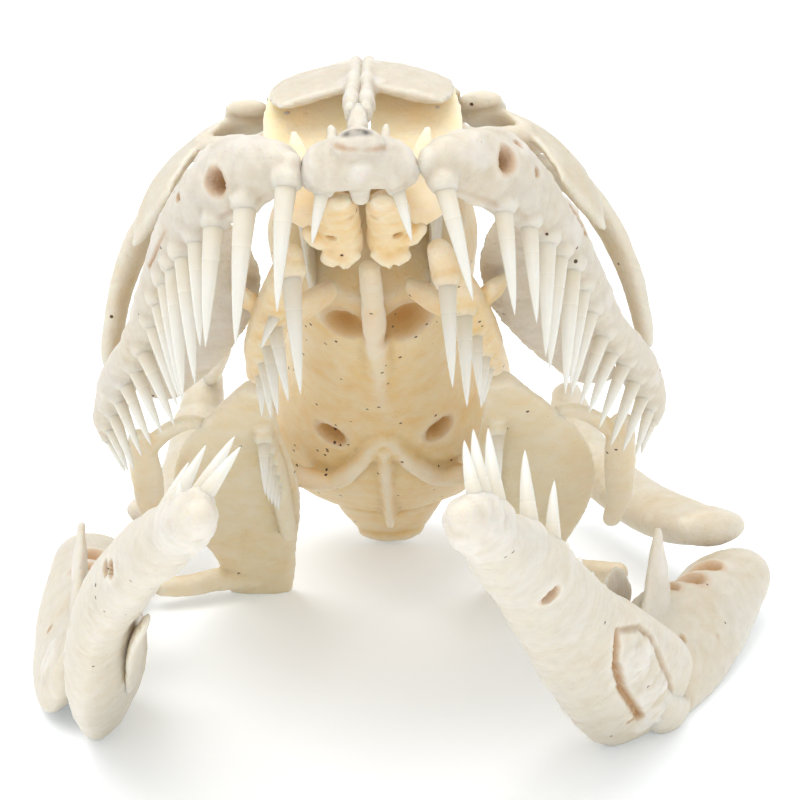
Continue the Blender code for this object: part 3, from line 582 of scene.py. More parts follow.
# %% The tooth tree
def tooth_tree():
    tree = bpy.data.node_groups.new("row_of_teeth", "GeometryNodeTree")
    inputs = (
        ("Sockets", "Geometry", None), ("Rings", "Int", 18), ("Sides", "Int", 14), ("Hook", "Float", 0.3),
        ("Root", "Float", 0.14), ("Throat", "Vector", (0.0, -1.0, 0.0)), ("Enamel", "Material", None),
    )
    for label, kind, value in inputs:
        socket = tree.interface.new_socket(label, in_out="INPUT", socket_type="NodeSocket" + kind)
        if value is not None:
            socket.default_value = value
    tree.interface.new_socket("Teeth", in_out="OUTPUT", socket_type="NodeSocketGeometry")
    given, made = tree.nodes.new("NodeGroupInput").outputs, tree.nodes.new("NodeGroupOutput")

    def named(label, kind):
        return put(tree, "GeometryNodeInputNamedAttribute", {"Name": label}, data_type=kind).outputs[0]

    def sum_of(one, two):
        return put(tree, "ShaderNodeVectorMath", {0: one, 1: two}, operation="ADD").outputs[0]

    def times(vector, amount):
        links = {0: vector, "Scale": amount}
        return put(tree, "ShaderNodeVectorMath", links, operation="SCALE").outputs[0]

    here = put(tree, "GeometryNodeInputPosition").outputs[0]
    links = {"Geometry": given["Sockets"], "Name": "base", "Value": here}
    sockets = put(tree, "GeometryNodeStoreNamedAttribute", links, data_type="FLOAT_VECTOR").outputs[0]
    line = put(tree, "GeometryNodeCurvePrimitiveLine").outputs[0]
    line = put(tree, "GeometryNodeResampleCurve", {"Curve": line, "Count": given["Rings"]}).outputs[0]
    lines = put(tree, "GeometryNodeInstanceOnPoints", {"Points": sockets, "Instance": line}).outputs[0]
    lines = put(tree, "GeometryNodeRealizeInstances", {"Geometry": lines}).outputs[0]
    factor = put(tree, "GeometryNodeSplineParameter").outputs["Factor"]
    reach = maths(tree, "ADD", given["Root"], 1.0)
    along = maths(tree, "SUBTRACT", maths(tree, "MULTIPLY", factor, reach), given["Root"])
    length = named("length", "FLOAT")
    out = times(named("lean", "FLOAT_VECTOR"), maths(tree, "MULTIPLY", length, along))
    square = maths(tree, "MULTIPLY", along, maths(tree, "ABSOLUTE", along, 0.0))
    hooked = maths(tree, "MULTIPLY", square, given["Hook"])
    bend = times(given["Throat"], maths(tree, "MULTIPLY", hooked, length))
    spot = sum_of(sum_of(named("base", "FLOAT_VECTOR"), out), bend)
    links = {"Geometry": lines, "Name": "along", "Value": along}
    lines = put(tree, "GeometryNodeStoreNamedAttribute", links, data_type="FLOAT").outputs[0]
    lines = put(tree, "GeometryNodeSetPosition", {"Geometry": lines, "Position": spot}).outputs[0]
    taper = put(tree, "ShaderNodeFloatCurve", {"Value": factor})
    points = taper.mapping.curves[0].points
    points[0].location = (0.0, 1.0)
    points[1].location = (1.0, 0.02)
    for at in ((0.15, 0.96), (0.3, 0.86), (0.45, 0.75), (0.62, 0.59), (0.8, 0.39), (0.93, 0.18)):
        points.new(*at)
    taper.mapping.update()
    thick = maths(tree, "MULTIPLY", taper.outputs[0], named("thickness", "FLOAT"))
    links = {"Resolution": given["Sides"], "Radius": 1.0}
    ring = put(tree, "GeometryNodeCurvePrimitiveCircle", links).outputs[0]
    links = {"Curve": lines, "Profile Curve": ring, "Scale": thick, "Fill Caps": True}
    skin = put(tree, "GeometryNodeCurveToMesh", links).outputs[0]
    skin = put(tree, "GeometryNodeSetShadeSmooth", {"Geometry": skin}).outputs[0]
    skin = put(tree, "GeometryNodeRealizeInstances", {"Geometry": skin}).outputs[0]
    links = {"Geometry": skin, "Material": given["Enamel"]}
    skin = put(tree, "GeometryNodeSetMaterial", links).outputs[0]
    tree.links.new(skin, made.inputs[0])
    return tree


THROAT = (0, -1, 0)
SIDES_OF_SKULL = (("left", False), ("right", True))
TOOTH_TREE = tooth_tree()
print("tooth tree:", len(TOOTH_TREE.nodes), "nodes")


def set_inputs(modifier, **values):
    """Set a modifier's inputs by the names that its tree gives them."""
    for item in modifier.node_group.interface.items_tree:
        if item.in_out == "INPUT" and item.name in values:
            modifier[item.identifier] = values[item.name]


def grow_teeth(name, node, teeth, place, throat, flip=False):
    """A row of teeth from (base, lean, length, radius) rows, as one plain mesh."""
    mesh = bpy.data.meshes.new(name + "_sockets")
    sign = np.array((-1.0 if flip else 1.0, 1.0, 1.0))
    bases = [tuple(np.array(base) * sign) for base, lean, length, radius in teeth]
    leans = [unit(np.array(lean, float)) * sign for base, lean, length, radius in teeth]
    mesh.from_pydata(bases, [], [])
    mesh.attributes.new("lean", "FLOAT_VECTOR", "POINT").data.foreach_set("vector", np.concatenate(leans))
    for label, column in (("length", 2), ("thickness", 3)):
        values = [row[column] for row in teeth]
        mesh.attributes.new(label, "FLOAT", "POINT").data.foreach_set("value", values)
    sockets = add_object(name + "_sockets", mesh)
    modifier = sockets.modifiers.new("teeth", "NODES")
    modifier.node_group = TOOTH_TREE
    set_inputs(modifier, Throat=tuple(throat), Enamel=TOOTH)
    done = evaluated_mesh(sockets)
    sockets.modifiers.clear()
    bpy.data.objects.remove(sockets, do_unlink=True)
    done.name = name
    done.transform(Matrix.Scale(MM, 4) @ place)
    fix = bmesh.new()
    fix.from_mesh(done)
    bmesh.ops.recalc_face_normals(fix, faces=fix.faces)
    fix.to_mesh(done)
    fix.free()
    piece = add_object(name, done)
    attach(piece, "root")
    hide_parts(node)
    print(f"{name}: {len(teeth)} teeth, {len(done.polygons)} faces")
    return piece


# %% [markdown]
# ## Places for the teeth
# The sockets sit along a bar's lower edge, so each tooth is written as a share of the bar's length,
# with its own length and sideways lean.  A collar of bone goes round every root.

# %% Sockets along a bar
ROOT_RADIUS = 0.15
RADIUS_PER_LENGTH = 0.058
COLLAR = (1.5, 1.7, 1.4)
SOCKET_SINK = 0.75


def along_bar(bar, share):
    """Centre and half height at a share of a bar's length."""
    spots = np.array([s[:3] for s in bar], float)
    heights = [s[4] for s in bar]
    runs = np.linalg.norm(np.diff(spots, axis=0), axis=1)
    goal = share * runs.sum()
    ends = np.concatenate(((0.0,), np.cumsum(runs)))
    centre = np.array([np.interp(goal, ends, spots[:, k]) for k in range(3)])
    return centre, float(np.interp(goal, ends, heights))


def hanging_teeth(bar, rows):
    """Teeth that hang from a bar, from rows of share, length and sideways lean."""
    teeth = []
    for share, length, lean in rows:
        centre, height = along_bar(bar, share)
        base = centre - np.array((0.0, 0.0, height * SOCKET_SINK))
        teeth.append((base, (lean, 0.0, -1.0), length, ROOT_RADIUS + RADIUS_PER_LENGTH * length))
    return teeth


def collars(teeth):
    """A lump of bone round each tooth's root."""
    return [bead(base, [radius * share for share in COLLAR]) for base, lean, length, radius in teeth]


# %% [markdown]
# ## The braincase
# The egg-shaped rear of the skull is several bones grown together: the parietal roof, the walls,
# and a base whose long thin rod runs forward under the snout.  The two ridges of the base stand
# out in the throat, with a hole on each side where nerves left the skull.

# %% Braincase tables
BRAINCASE_BODY = (
    (0, 0.8, 1.6, 3.2, 2.6), (0, 2.5, 2.6, 5.2, 4), (0, 5.5, 3.4, 6.3, 5), (0, 9, 3.8, 6.3, 5.6),
    (0, 12.5, 4.2, 5.6, 5.5), (0, 17, 4.6, 4.5, 5.1), (0, 21.5, 5, 4.3, 4.9), (0, 25.2, 5.3, 4.5, 4.5),
)
BRAINCASE_CREST = (
    (0, 2.5, 6.4, 0.5, 0.8), (0, 6, 8.7, 0.45, 0.9), (0, 12, 9.9, 0.35, 0.65), (0, 18, 9.8, 0.3, 0.5),
)
BRAINCASE_ROD = (
    (0, 15.5, 0.2, 1.3, 0.8), (0, 19, 0.3, 0.75, 0.6), (0, 24, 0.5, 0.5, 0.5), (0, 29, 0.6, 0.5, 0.45),
    (0, 33, 0.6, 0.42, 0.35),
)
BRAINCASE_KEEL = ((0, 14.5, -0.9, 0.4, 0.6), (0, 9, -1.6, 0.25, 0.5), (0, 3.5, -1.5, 0.25, 0.5))
BASE_RIDGE = (
    (0, 15.2, -0.7, 0.45, 0.5), (1.2, 13, -1.2, 0.4, 0.5), (2.5, 11.2, -1.5, 0.45, 0.5),
    (4.2, 11.2, -1.2, 0.5, 0.5), (5.3, 12.6, -0.4, 0.4, 0.4),
)
BRAINCASE_CORNER = ((3.4, 24.6, 8.6, 0.8, 0.5), (5, 25.4, 8.7, 0.75, 0.42), (6.1, 25.8, 8.5, 0.55, 0.35))
CONDYLE = ((0, -0.1, -0.5, 2, 0.8), (0, 1.2, -0.4, 2.3, 0.95), (0, 3, 0, 2.9, 1.15))
BRAINCASE_DENTS = (
    (0, -0.2, 2.3, 1.6, 2.2), (5.4, 12, 2.6, 0.8, 0.8), (-5.4, 12, 2.6, 0.8, 0.8),
    (5.6, 6.5, 1, 0.7, 0.6), (-5.6, 6.5, 1, 0.7, 0.6), (2.7, 14.7, -0.4, 0.75, 0.6),
    (-2.5, 14.6, -0.4, 0.75, 0.6), (-3.2, 15.1, -0.2, 0.4, 0.4), (3.5, 14.9, -0.1, 0.35, 0.4),
    (-1.4, 25.6, 0.8, 0.9, 0.4), (1.4, 25.6, 0.8, 1.15, 0.5), (-2.9, 19, 0.2, 0.3, 0.25),
    (3, 19.4, 0.3, 0.4, 0.3),
)
BRAINCASE_SEAMS = (
    (((0, 24.5, 9.4), (0, 19, 9.9)), 0.14, 0.05, 0.25),
    (((-4.6, 8, -0.6), (0, 7.4, -1.6), (4.6, 8, -0.6)), 0.13, 0.05, 0.3),
    (((6.2, 4.5, 5), (6.2, 8.5, 6), (5.4, 13.5, 6.2)), 0.13, 0.05, 0.3),
    (((-6.2, 4.5, 5), (-6.2, 8.5, 6), (-5.4, 13.5, 6.2)), 0.13, 0.05, 0.3),
)

print("braincase:", len(BRAINCASE_BODY), "sections in the body")


def make_braincase():
    parts = [strand(BRAINCASE_BODY, sides=40), strand(BRAINCASE_CREST), strand(BRAINCASE_ROD)]
    parts += [strand(BRAINCASE_KEEL), strand(CONDYLE), bead((0, -0.3, -0.75), (1.9, 0.9, 0.9))]
    other = [(-x, *rest) for x, *rest in reversed(BASE_RIDGE[1:])]
    parts.append(strand(other + list(BASE_RIDGE), across=(0, 1, 0.3)))
    corner = strand(BRAINCASE_CORNER, across=(0, 1, 0))
    parts += [corner, mirrored(corner)]
    build_bone("braincase", ["braincase"], parts, SKULL, PALATE_BONE, "palate_bone", voxel=0.17,
               lumpy=0.09, tooth=0.015, seed=3, dents=BRAINCASE_DENTS, grooves=BRAINCASE_SEAMS)


make_braincase()

# %% [markdown]
# ## The premaxilla
# The small bone at the tip of the snout carries a knob, a pair of wings behind the front teeth and
# the post that props the nasals.  A dark blot of dried tissue sits on the knob.

# %% Premaxilla
PREMAXILLA_WINGS = (
    (-1.65, 42.9, 0.2, 0.45, 0.7), (-1, 43.6, 0.15, 0.7, 0.95), (0, 44, 0, 0.85, 0.9),
    (1, 43.6, 0.15, 0.7, 0.95), (1.65, 42.9, 0.2, 0.45, 0.7),
)
PREMAXILLA_POST = ((0, 43.9, 0.6, 0.4, 0.5), (0, 43.3, 1.9, 0.33, 0.42), (0, 42.5, 2.6, 0.28, 0.33))
PREMAXILLA_PRONG = ((0.85, 43.3, 0.8, 0.28, 0.28), (0.95, 42.7, 1.9, 0.15, 0.17))
PREMAXILLA_FOOT = ((0, 43.6, -0.4, 0.5, 0.4), (0, 42.3, -0.6, 0.28, 0.22))
PREMAXILLA_ARC = (
    (
        ((-0.75, 44.8, 0.3), (-0.4, 45.1, 0), (0.15, 45.2, -0.1), (0.6, 45, 0), (0.95, 44.6, 0.25)),
        0.13, 0.05, 0.45,
    ),
)
PREMAXILLA_CRUSTS = (
    (-1.5, 43.5, 0.2, 0.9, 0.14), (1.5, 43.5, 0.2, 0.9, 0.14), (0, 44.6, -0.6, 0.6, 0.1),
)
PREMAXILLA_TOOTH = [((1.25, 43.1, -0.5), (0.25, 0, -1), 1.9, 0.27)]


def knob_blot(co):
    """Dried tissue on the front of the knob."""
    gone = np.linalg.norm((co - (-0.05, 45.15, 0.62)) / (0.5, 0.6, 0.17), axis=1)
    return np.clip(2.0 - 1.4 * gone, 0, 1) * np.clip(0.8 + 0.5 * lumps(co, 0.25, 8), 0, 1)


def make_premaxilla():
    parts = [strand(PREMAXILLA_WINGS, across=(0, 1, 0)), bead((0, 44.5, 0.35), (0.95, 0.7, 0.75))]
    parts += [strand(PREMAXILLA_POST), strand(PREMAXILLA_FOOT)]
    prong = strand(PREMAXILLA_PRONG)
    parts += [prong, mirrored(prong)] + collars(PREMAXILLA_TOOTH)
    parts += [mirrored(part) for part in collars(PREMAXILLA_TOOTH)]
    build_bone("premaxilla", ["premaxilla"], parts, SKULL, CHALKY_BONE, "skull_bone", voxel=0.09,
               lumpy=0.07, tooth=0.035, seed=5, grooves=PREMAXILLA_ARC, crusts=PREMAXILLA_CRUSTS,
               blot=knob_blot)
    for side, flip in SIDES_OF_SKULL:
        name = "premaxilla_tooth_" + side
        grow_teeth(name, "premaxilla", PREMAXILLA_TOOTH, SKULL, THROAT, flip)


make_premaxilla()

# %% [markdown]
# ## Paired bones
# Every other skull bone comes as a left and a right.  Each is written for the left and mirrored;
# only teeth and marks that differ have a table for each side.  The noise is seeded anew for the
# right, so that no two bones are twins.

# %% Snout and roof tables
NASAL_ROOF = (
    (1.75, 35.8, 7.45, 1.75, 0.3), (1.8, 37.2, 6.55, 1.75, 0.32), (1.75, 38.4, 5.6, 1.7, 0.28),
    (1.6, 39.3, 4.85, 1.45, 0.2),
)
NASAL_KEEL = (
    (0.25, 35.4, 7.95, 0.3, 0.5), (0.25, 37.4, 6.5, 0.31, 0.55), (0.25, 39.5, 4.9, 0.3, 0.55),
    (0.27, 42.9, 2.4, 0.25, 0.4),
)
NASAL_WALL = ((1.9, 36.9, 6.2, 1.65, 0.2), (2, 37.8, 4.5, 1.75, 0.2), (2, 38.5, 2.6, 1.55, 0.2))
NASAL_CRUSTS = ((0.3, 36.5, 7.4, 0.7, 0.08), (0.3, 39, 5.4, 0.8, 0.1), (0.3, 41.5, 3.5, 0.8, 0.1))
SEPTOMAXILLA_BODY = (
    (1.4, 41.9, 0.55, 0.4, 0.28), (1.8, 40.9, 0.75, 0.6, 0.3), (2.2, 39.6, 0.8, 0.85, 0.3),
    (2.2, 38, 0.85, 0.8, 0.3), (1.9, 36.8, 0.9, 0.5, 0.26),
)
SEPTOMAXILLA_PEAK = (
    (1.95, 40.4, 0.8, 0.5, 0.3), (2.25, 40.4, 2.2, 0.33, 0.2), (2.4, 40.3, 2.9, 0.12, 0.12),
)
VOMER_BODY = (
    (0.75, 42.5, -0.75, 0.45, 0.3), (0.88, 41.6, -0.5, 0.72, 0.5), (0.93, 40.2, -0.25, 0.82, 0.6),
    (0.9, 38.9, -0.25, 0.8, 0.62), (0.88, 38, -0.45, 0.82, 0.6), (0.8, 37.2, -0.4, 0.6, 0.42),
)
VOMER_WING = ((0.9, 38.6, -0.5, 0.3, 0.4), (1.6, 38.7, -0.6, 0.36, 0.34), (2.05, 39.1, -0.4, 0.25, 0.25))
VOMER_LIP = ((0.4, 38.2, -0.9, 0.3, 0.22), (0.9, 37.9, -1.1, 0.36, 0.24), (1.5, 38.2, -1, 0.28, 0.2))
VOMER_DENTS = ((0.25, 41.2, -1.1, 0.3, 0.4), (1.25, 39.4, -0.9, 0.22, 0.2))
VOMER_TAIL = ((0.85, 37.4, -0.35, 0.26, 0.35), (0.8, 34.8, 0.1, 0.18, 0.3))
PREFRONTAL_SHEET = (
    (4.15, 34.45, 6.35, 1.05, 0.32), (5.2, 33.8, 6.35, 1.9, 0.35), (6.6, 33.3, 5.9, 2.3, 0.35),
    (7.6, 33.4, 4.8, 2.4, 0.33), (8.15, 33.7, 3.5, 2.3, 0.3), (8.35, 34, 2.45, 2, 0.26),
)
PREFRONTAL_STRUT = (
    (2.75, 37.6, 4.95, 0.25, 0.24), (3.4, 37, 4.6, 0.28, 0.28), (4.2, 36.6, 4.3, 0.34, 0.36),
    (6, 35.2, 4.9, 0.42, 0.46),
)
PREFRONTAL_ROOF = ((4.5, 35.8, 6.25, 0.8, 0.32), (4.6, 33.2, 7.05, 1, 0.4), (4.9, 31, 7.5, 0.7, 0.32))
FRONTAL_ROOF = (
    (1.95, 35.4, 7.5, 1.95, 0.32), (2, 33.5, 8, 2, 0.4), (2.1, 30.5, 8.4, 2.1, 0.45),
    (2.2, 27.6, 8.75, 2.2, 0.45), (2.3, 26.3, 8.85, 2, 0.38),
)
FRONTAL_WALL = (
    (2.7, 34.3, 5.1, 2.6, 0.24), (2.7, 31, 5, 3.3, 0.26), (2.7, 27.6, 5.1, 3.6, 0.3),
    (2.7, 26.5, 5.1, 3.4, 0.26),
)
SUPRAORBITAL = ((5.5, 30.4, 7.5, 0.4, 0.23), (6.4, 28.8, 7.9, 0.78, 0.3), (7, 27.6, 7.9, 0.66, 0.27))
POSTORBITAL = (
    (6.9, 26.7, 7.6, 0.8, 0.42), (8.4, 26.4, 7, 0.95, 0.54), (9.9, 25.3, 5.5, 0.95, 0.54),
    (10.95, 23.9, 3.7, 0.9, 0.5), (11.5, 22.6, 1.9, 0.82, 0.44), (11.65, 22, 1.1, 0.55, 0.34),
)
print("snout and roof:", len(PREFRONTAL_SHEET), "sections in a prefrontal's sheet")

# %% [markdown]
# ## Upper jaw and palate
# Three toothed bones hang on each side: the maxilla outside, the palatine and the pterygoid within.
# The ectopterygoid ties them together behind.  Teeth are listed one by one, as shares of their bar,
# because real rows have gaps where old teeth fell out and new ones had not come up.

# %% Upper jaw and palate tables
MAXILLA_BAR = (
    (2.3, 43.3, 0.35, 0.35, 0.45), (2.75, 42.8, 0.5, 0.7, 0.9), (4.2, 41.4, 0.85, 0.85, 1.3),
    (5.7, 39.5, 0.75, 0.85, 1.25), (6.85, 37, 0.65, 0.75, 1.05), (7.6, 35, 0.55, 0.7, 0.92),
    (8.25, 33, 0.15, 0.68, 0.85), (8.8, 31, -0.25, 0.68, 0.8), (9.6, 28.5, -0.7, 0.72, 0.75),
    (10.55, 26, -0.8, 0.75, 0.78), (11.4, 23, -1.05, 0.75, 0.8), (11.9, 21, -1.35, 0.6, 0.65),
    (12, 19.6, -1.7, 0.35, 0.4),
)
MAXILLA_CREST = ((3.6, 41.9, 1.5, 0.4, 0.5), (4.7, 41, 2.1, 0.5, 0.45), (6, 39.2, 1.9, 0.4, 0.4))
MAXILLA_SHELF = (
    (5.9, 37.6, 0.85, 0.8, 0.28), (6, 35.6, 0.75, 1.5, 0.3), (6.1, 33, 0.4, 1.9, 0.3),
    (6.6, 30.4, 0, 1.9, 0.3), (7.4, 27.8, -0.3, 1.7, 0.28), (8.4, 25.2, -0.55, 1.4, 0.26),
    (9.4, 23, -0.8, 0.9, 0.25),
)
MAXILLA_DENTS = {
    "left": (
        (4.96, 41.6, 1, 0.5, 0.85), (6.1, 40.3, 1.05, 0.2, 0.35), (8.3, 34.6, 0.9, 0.2, 0.3),
        (9.6, 30, 0.3, 0.2, 0.3), (3.4, 42.6, 0.9, 0.22, 0.12), (5.6, 41, 1.9, 0.2, 0.15),
    ),
    "right": (
        (5.03, 41.5, 0.6, 0.5, 0.85), (6.6, 39.6, 0.9, 0.16, 0.25), (8.7, 31.6, -0.5, 0.26, 0.4),
        (9.9, 29, 0.2, 0.2, 0.3), (3.2, 42.7, 0.7, 0.2, 0.12),
    ),
}
MAXILLA_SEAMS = {
    "left": (
        (
            ((6.7, 38.9, 1.75), (7.18, 37.94, 1.32), (7.66, 36.92, 0.95), (8.25, 35.2, 0.75)),
            0.12, 0.12, 0.85,
        ),
        (((3.3, 42.2, -0.4), (5.4, 40.2, -0.3), (6.6, 38, -0.2)), 0.16, 0.06, 0.2),
    ),
    "right": (
        (((5.9, 40.3, 0.95), (6.4, 39.5, 0.7), (7.4, 37.27, 0.4), (8.32, 34.74, 0.25)), 0.12, 0.12, 0.85),
        (((3.3, 42.2, -0.4), (5.4, 40.2, -0.3), (6.6, 38, -0.2)), 0.16, 0.06, 0.2),
    ),
}
MAXILLA_CRUSTS = (
    (3.6, 42.2, 1.2, 1.3, 0.16), (5.6, 40.4, 1.9, 1.1, 0.14), (7.6, 36.4, 1.2, 1.4, 0.1),
    (9.2, 31, 0.2, 1.3, 0.1), (11.2, 24, -0.6, 1.5, 0.12),
)
PALATINE_BAR = (
    (2.65, 38, -0.75, 0.42, 0.4), (3, 36.6, -1.1, 0.66, 0.6), (3.7, 33.6, -1.25, 0.76, 0.62),
    (4.4, 29.8, -1.35, 0.74, 0.57), (4.85, 26.3, -1.3, 0.52, 0.42),
)
PALATINE_KNOB = (
    (3.9, 31.6, -0.9, 0.85, 0.45), (2.6, 31.2, -0.2, 0.85, 0.45), (1.7, 30.7, 0.55, 0.65, 0.36),
)
PALATINE_WING = ((4.4, 33.4, -0.9, 0.85, 0.3), (5, 33, -0.4, 0.85, 0.26))
PTERYGOID_BLADE = (
    (5.05, 25.1, -1.5, 0.66, 0.42), (5.9, 22, -1.8, 1.5, 0.46), (6.6, 18.5, -2.1, 2.4, 0.5),
    (6.85, 15, -2.6, 2.9, 0.55), (6.8, 11.5, -3.3, 2.7, 0.55), (6.55, 8, -4.2, 2, 0.5),
    (6.5, 5.6, -5, 1.7, 0.48), (6.5, 4.5, -5.4, 1.45, 0.4),
)
PTERYGOID_RAMUS = (
    (6.6, 6, -4.9, 0.9, 0.5), (8.4, 6.4, -5, 0.8, 0.55), (9.8, 7, -5.4, 0.75, 0.55),
    (11.2, 7.6, -5.6, 0.6, 0.45),
)
PTERYGOID_RIDGE = ((5.1, 22, -2.1, 0.42, 0.38), (4.8, 17, -2.8, 0.45, 0.48), (4.7, 11, -4, 0.42, 0.42))
ECTOPTERYGOID = (
    (10.45, 21.5, -2.15, 0.46, 0.24), (10.55, 19.3, -2.6, 0.7, 0.38), (10.65, 17, -3.1, 0.72, 0.42),
    (10.75, 14.6, -3.7, 0.6, 0.42), (10.5, 12.6, -4.3, 0.4, 0.32),
)
ECTOPTERYGOID_FORK = (
    (10.5, 19.6, -2.5, 0.6, 0.32), (9.5, 20.8, -2, 0.6, 0.3), (8.4, 21.4, -1.7, 0.5, 0.28),
    (7.6, 21.2, -1.7, 0.35, 0.24),
)
SUPRATEMPORAL = (
    (6.4, 12.5, 6.6, 0.28, 0.28), (7.6, 9, 7.2, 0.33, 0.66), (8.4, 5, 7.6, 0.38, 0.82),
    (9.1, 2, 7.7, 0.42, 0.78), (9.6, 0.4, 7.6, 0.36, 0.55),
)
MAXILLA_TEETH = {
    "left": (
        (0.03, 4.1, 0.23), (0.15, 3.8, 0.08), (0.215, 3.6, 0.05), (0.28, 4.3, -0.04), (0.335, 4.4, -0.12),
        (0.39, 4.8, -0.08), (0.455, 3.8, -0.16), (0.52, 3.5, -0.28), (0.6, 3, -0.38), (0.66, 2.8, -0.46),
        (0.72, 2.9, -0.46), (0.79, 3, -0.43), (0.855, 2.6, -0.42), (0.91, 2.2, -0.34), (0.96, 1.7, -0.4),
    ),
    "right": (
        (0.012, 4.4, 0.11), (0.095, 4.9, 0.11), (0.17, 4.4, 0.11), (0.23, 3.9, 0), (0.285, 4.8, -0.05),
        (0.335, 4.9, -0.03), (0.39, 4.6, -0.1), (0.45, 3.9, -0.18), (0.52, 3.4, -0.28),
        (0.605, 3.3, -0.4), (0.67, 2.9, -0.4), (0.735, 2.8, -0.4), (0.8, 2.6, -0.38), (0.86, 2.6, -0.34),
        (0.92, 2.1, -0.4), (0.965, 1.7, -0.45),
    ),
}
PALATINE_TEETH = {
    "left": ((0.1, 3.9, 0.02), (0.33, 3.6, 0), (0.52, 2.6, 0.05), (0.72, 2.2, -0.1), (0.875, 1.6, -0.2)),
    "right": (
        (0.04, 4.4, -0.05), (0.315, 1.4, 0.5), (0.38, 3, -0.16), (0.54, 2.9, -0.1), (0.7, 2.4, -0.1),
        (0.87, 1.8, 0),
    ),
}
PTERYGOID_TEETH = ((0.06, 2.4, 0), (0.16, 2.2, 0), (0.26, 1.9, 0), (0.36, 1.6, 0), (0.46, 1.3, 0))
print("maxillary teeth:", {side: len(rows) for side, rows in MAXILLA_TEETH.items()})

# %% [markdown]
# ## A recipe for each paired bone
# A recipe gives back a bone's strands and marks.  One long list could hold them all, but a function
# can stand a sheet on its edge, or read the table of its own side.

# %% Recipes for the paired bones
def nasal(side):
    parts = [strand(NASAL_ROOF, across=(1, 0, -0.3)), strand(NASAL_KEEL)]
    return parts, {"tooth": 0.025, "crusts": NASAL_CRUSTS}


def septomaxilla(side):
    return [strand(SEPTOMAXILLA_BODY), strand(SEPTOMAXILLA_PEAK), strand(NASAL_WALL)], {}


def vomer(side):
    parts = [strand(VOMER_BODY), strand(VOMER_TAIL), strand(VOMER_WING), strand(VOMER_LIP)]
    return parts, {"dents": VOMER_DENTS, "tooth": 0.03}


def prefrontal(side):
    sheet = strand(PREFRONTAL_SHEET, across=(-0.4, 1, -0.25))
    return [sheet, strand(PREFRONTAL_STRUT, across=(0, 1, 0)), strand(PREFRONTAL_ROOF)], {}


def frontal(side):
    return [strand(FRONTAL_ROOF, across=(1, 0, -0.42)), strand(FRONTAL_WALL, across=(0.06, 0, 1))], {}


def supraorbital(side):
    return [strand(SUPRAORBITAL, across=(1, 0.5, 0))], {}


def postorbital(side):
    return [strand(POSTORBITAL, across=(0, 1, 0))], {}


def maxilla(side):
    teeth = hanging_teeth(MAXILLA_BAR, MAXILLA_TEETH[side])
    parts = [strand(MAXILLA_BAR, across=(1, 0, -0.35)), strand(MAXILLA_CREST), strand(MAXILLA_SHELF)]
    parts += collars(teeth)
    marks = {"dents": MAXILLA_DENTS[side], "grooves": MAXILLA_SEAMS[side], "crusts": MAXILLA_CRUSTS}
    return parts, {"teeth": teeth, "lumpy": 0.08, "tooth": 0.035, **marks}


def palatine(side):
    teeth = hanging_teeth(PALATINE_BAR, PALATINE_TEETH[side])
    wings = [strand(table, across=(0, 1, 0)) for table in (PALATINE_KNOB, PALATINE_WING)]
    return [strand(PALATINE_BAR)] + wings + collars(teeth), {"teeth": teeth}


def pterygoid(side):
    teeth = hanging_teeth(PTERYGOID_RIDGE, PTERYGOID_TEETH)
    ramus = strand(PTERYGOID_RAMUS, across=(0, 1, 0))
    return [strand(PTERYGOID_BLADE), ramus, strand(PTERYGOID_RIDGE)] + collars(teeth), {"teeth": teeth}


def ectopterygoid(side):
    return [strand(ECTOPTERYGOID), strand(ECTOPTERYGOID_FORK, across=(0, 1, 0))], {}


def supratemporal(side):
    return [strand(SUPRATEMPORAL)], {}


PAIRED_BONES = (
    (nasal, CHALKY_BONE, "skull_bone", 0.1), (septomaxilla, LINING_BONE, "palate_bone", 0.08),
    (vomer, PALATE_BONE, "palate_bone", 0.1), (prefrontal, SKULL_BONE, "skull_bone", 0.12),
    (frontal, SKULL_BONE, "skull_bone", 0.12), (supraorbital, SKULL_BONE, "skull_bone", 0.1),
    (postorbital, SKULL_BONE, "skull_bone", 0.12), (maxilla, CHALKY_BONE, "skull_bone", 0.11),
    (palatine, PALATE_BONE, "palate_bone", 0.11), (pterygoid, PLATE_BONE, "palate_bone", 0.12),
    (ectopterygoid, PLATE_BONE, "palate_bone", 0.12), (supratemporal, SKULL_BONE, "skull_bone", 0.12),
)


def flipped(rows):
    return [(-row[0], *row[1:]) for row in rows]


def make_pairs():
    for number, (recipe, material, slot, voxel) in enumerate(PAIRED_BONES):
        name = recipe.__name__
        for side, flip in SIDES_OF_SKULL:
            parts, extra = recipe(side)
            teeth = extra.pop("teeth", None)
            if flip:
                parts = [mirrored(part) for part in parts]
                extra["dents"] = flipped(extra.get("dents", ()))
                extra["crusts"] = flipped(extra.get("crusts", ()))
                extra["grooves"] = [(flipped(path), *rest) for path, *rest in extra.get("grooves", ())]
            label = f"{name}_{side}"
            seed = 20 + 10 * number + 5 * flip
            build_bone(label + "_bone", [label], parts, SKULL, material, slot,
                       voxel=voxel, seed=seed, **extra)
            if teeth:
                grow_teeth(label + "_teeth", label, teeth, SKULL, THROAT, flip)


make_pairs()

# %% [markdown]
# ## Quadrates
# Two stout struts slope from the back of the skull to the jaw joints.  They hang at different
# angles here, because the jaws were set down unevenly.

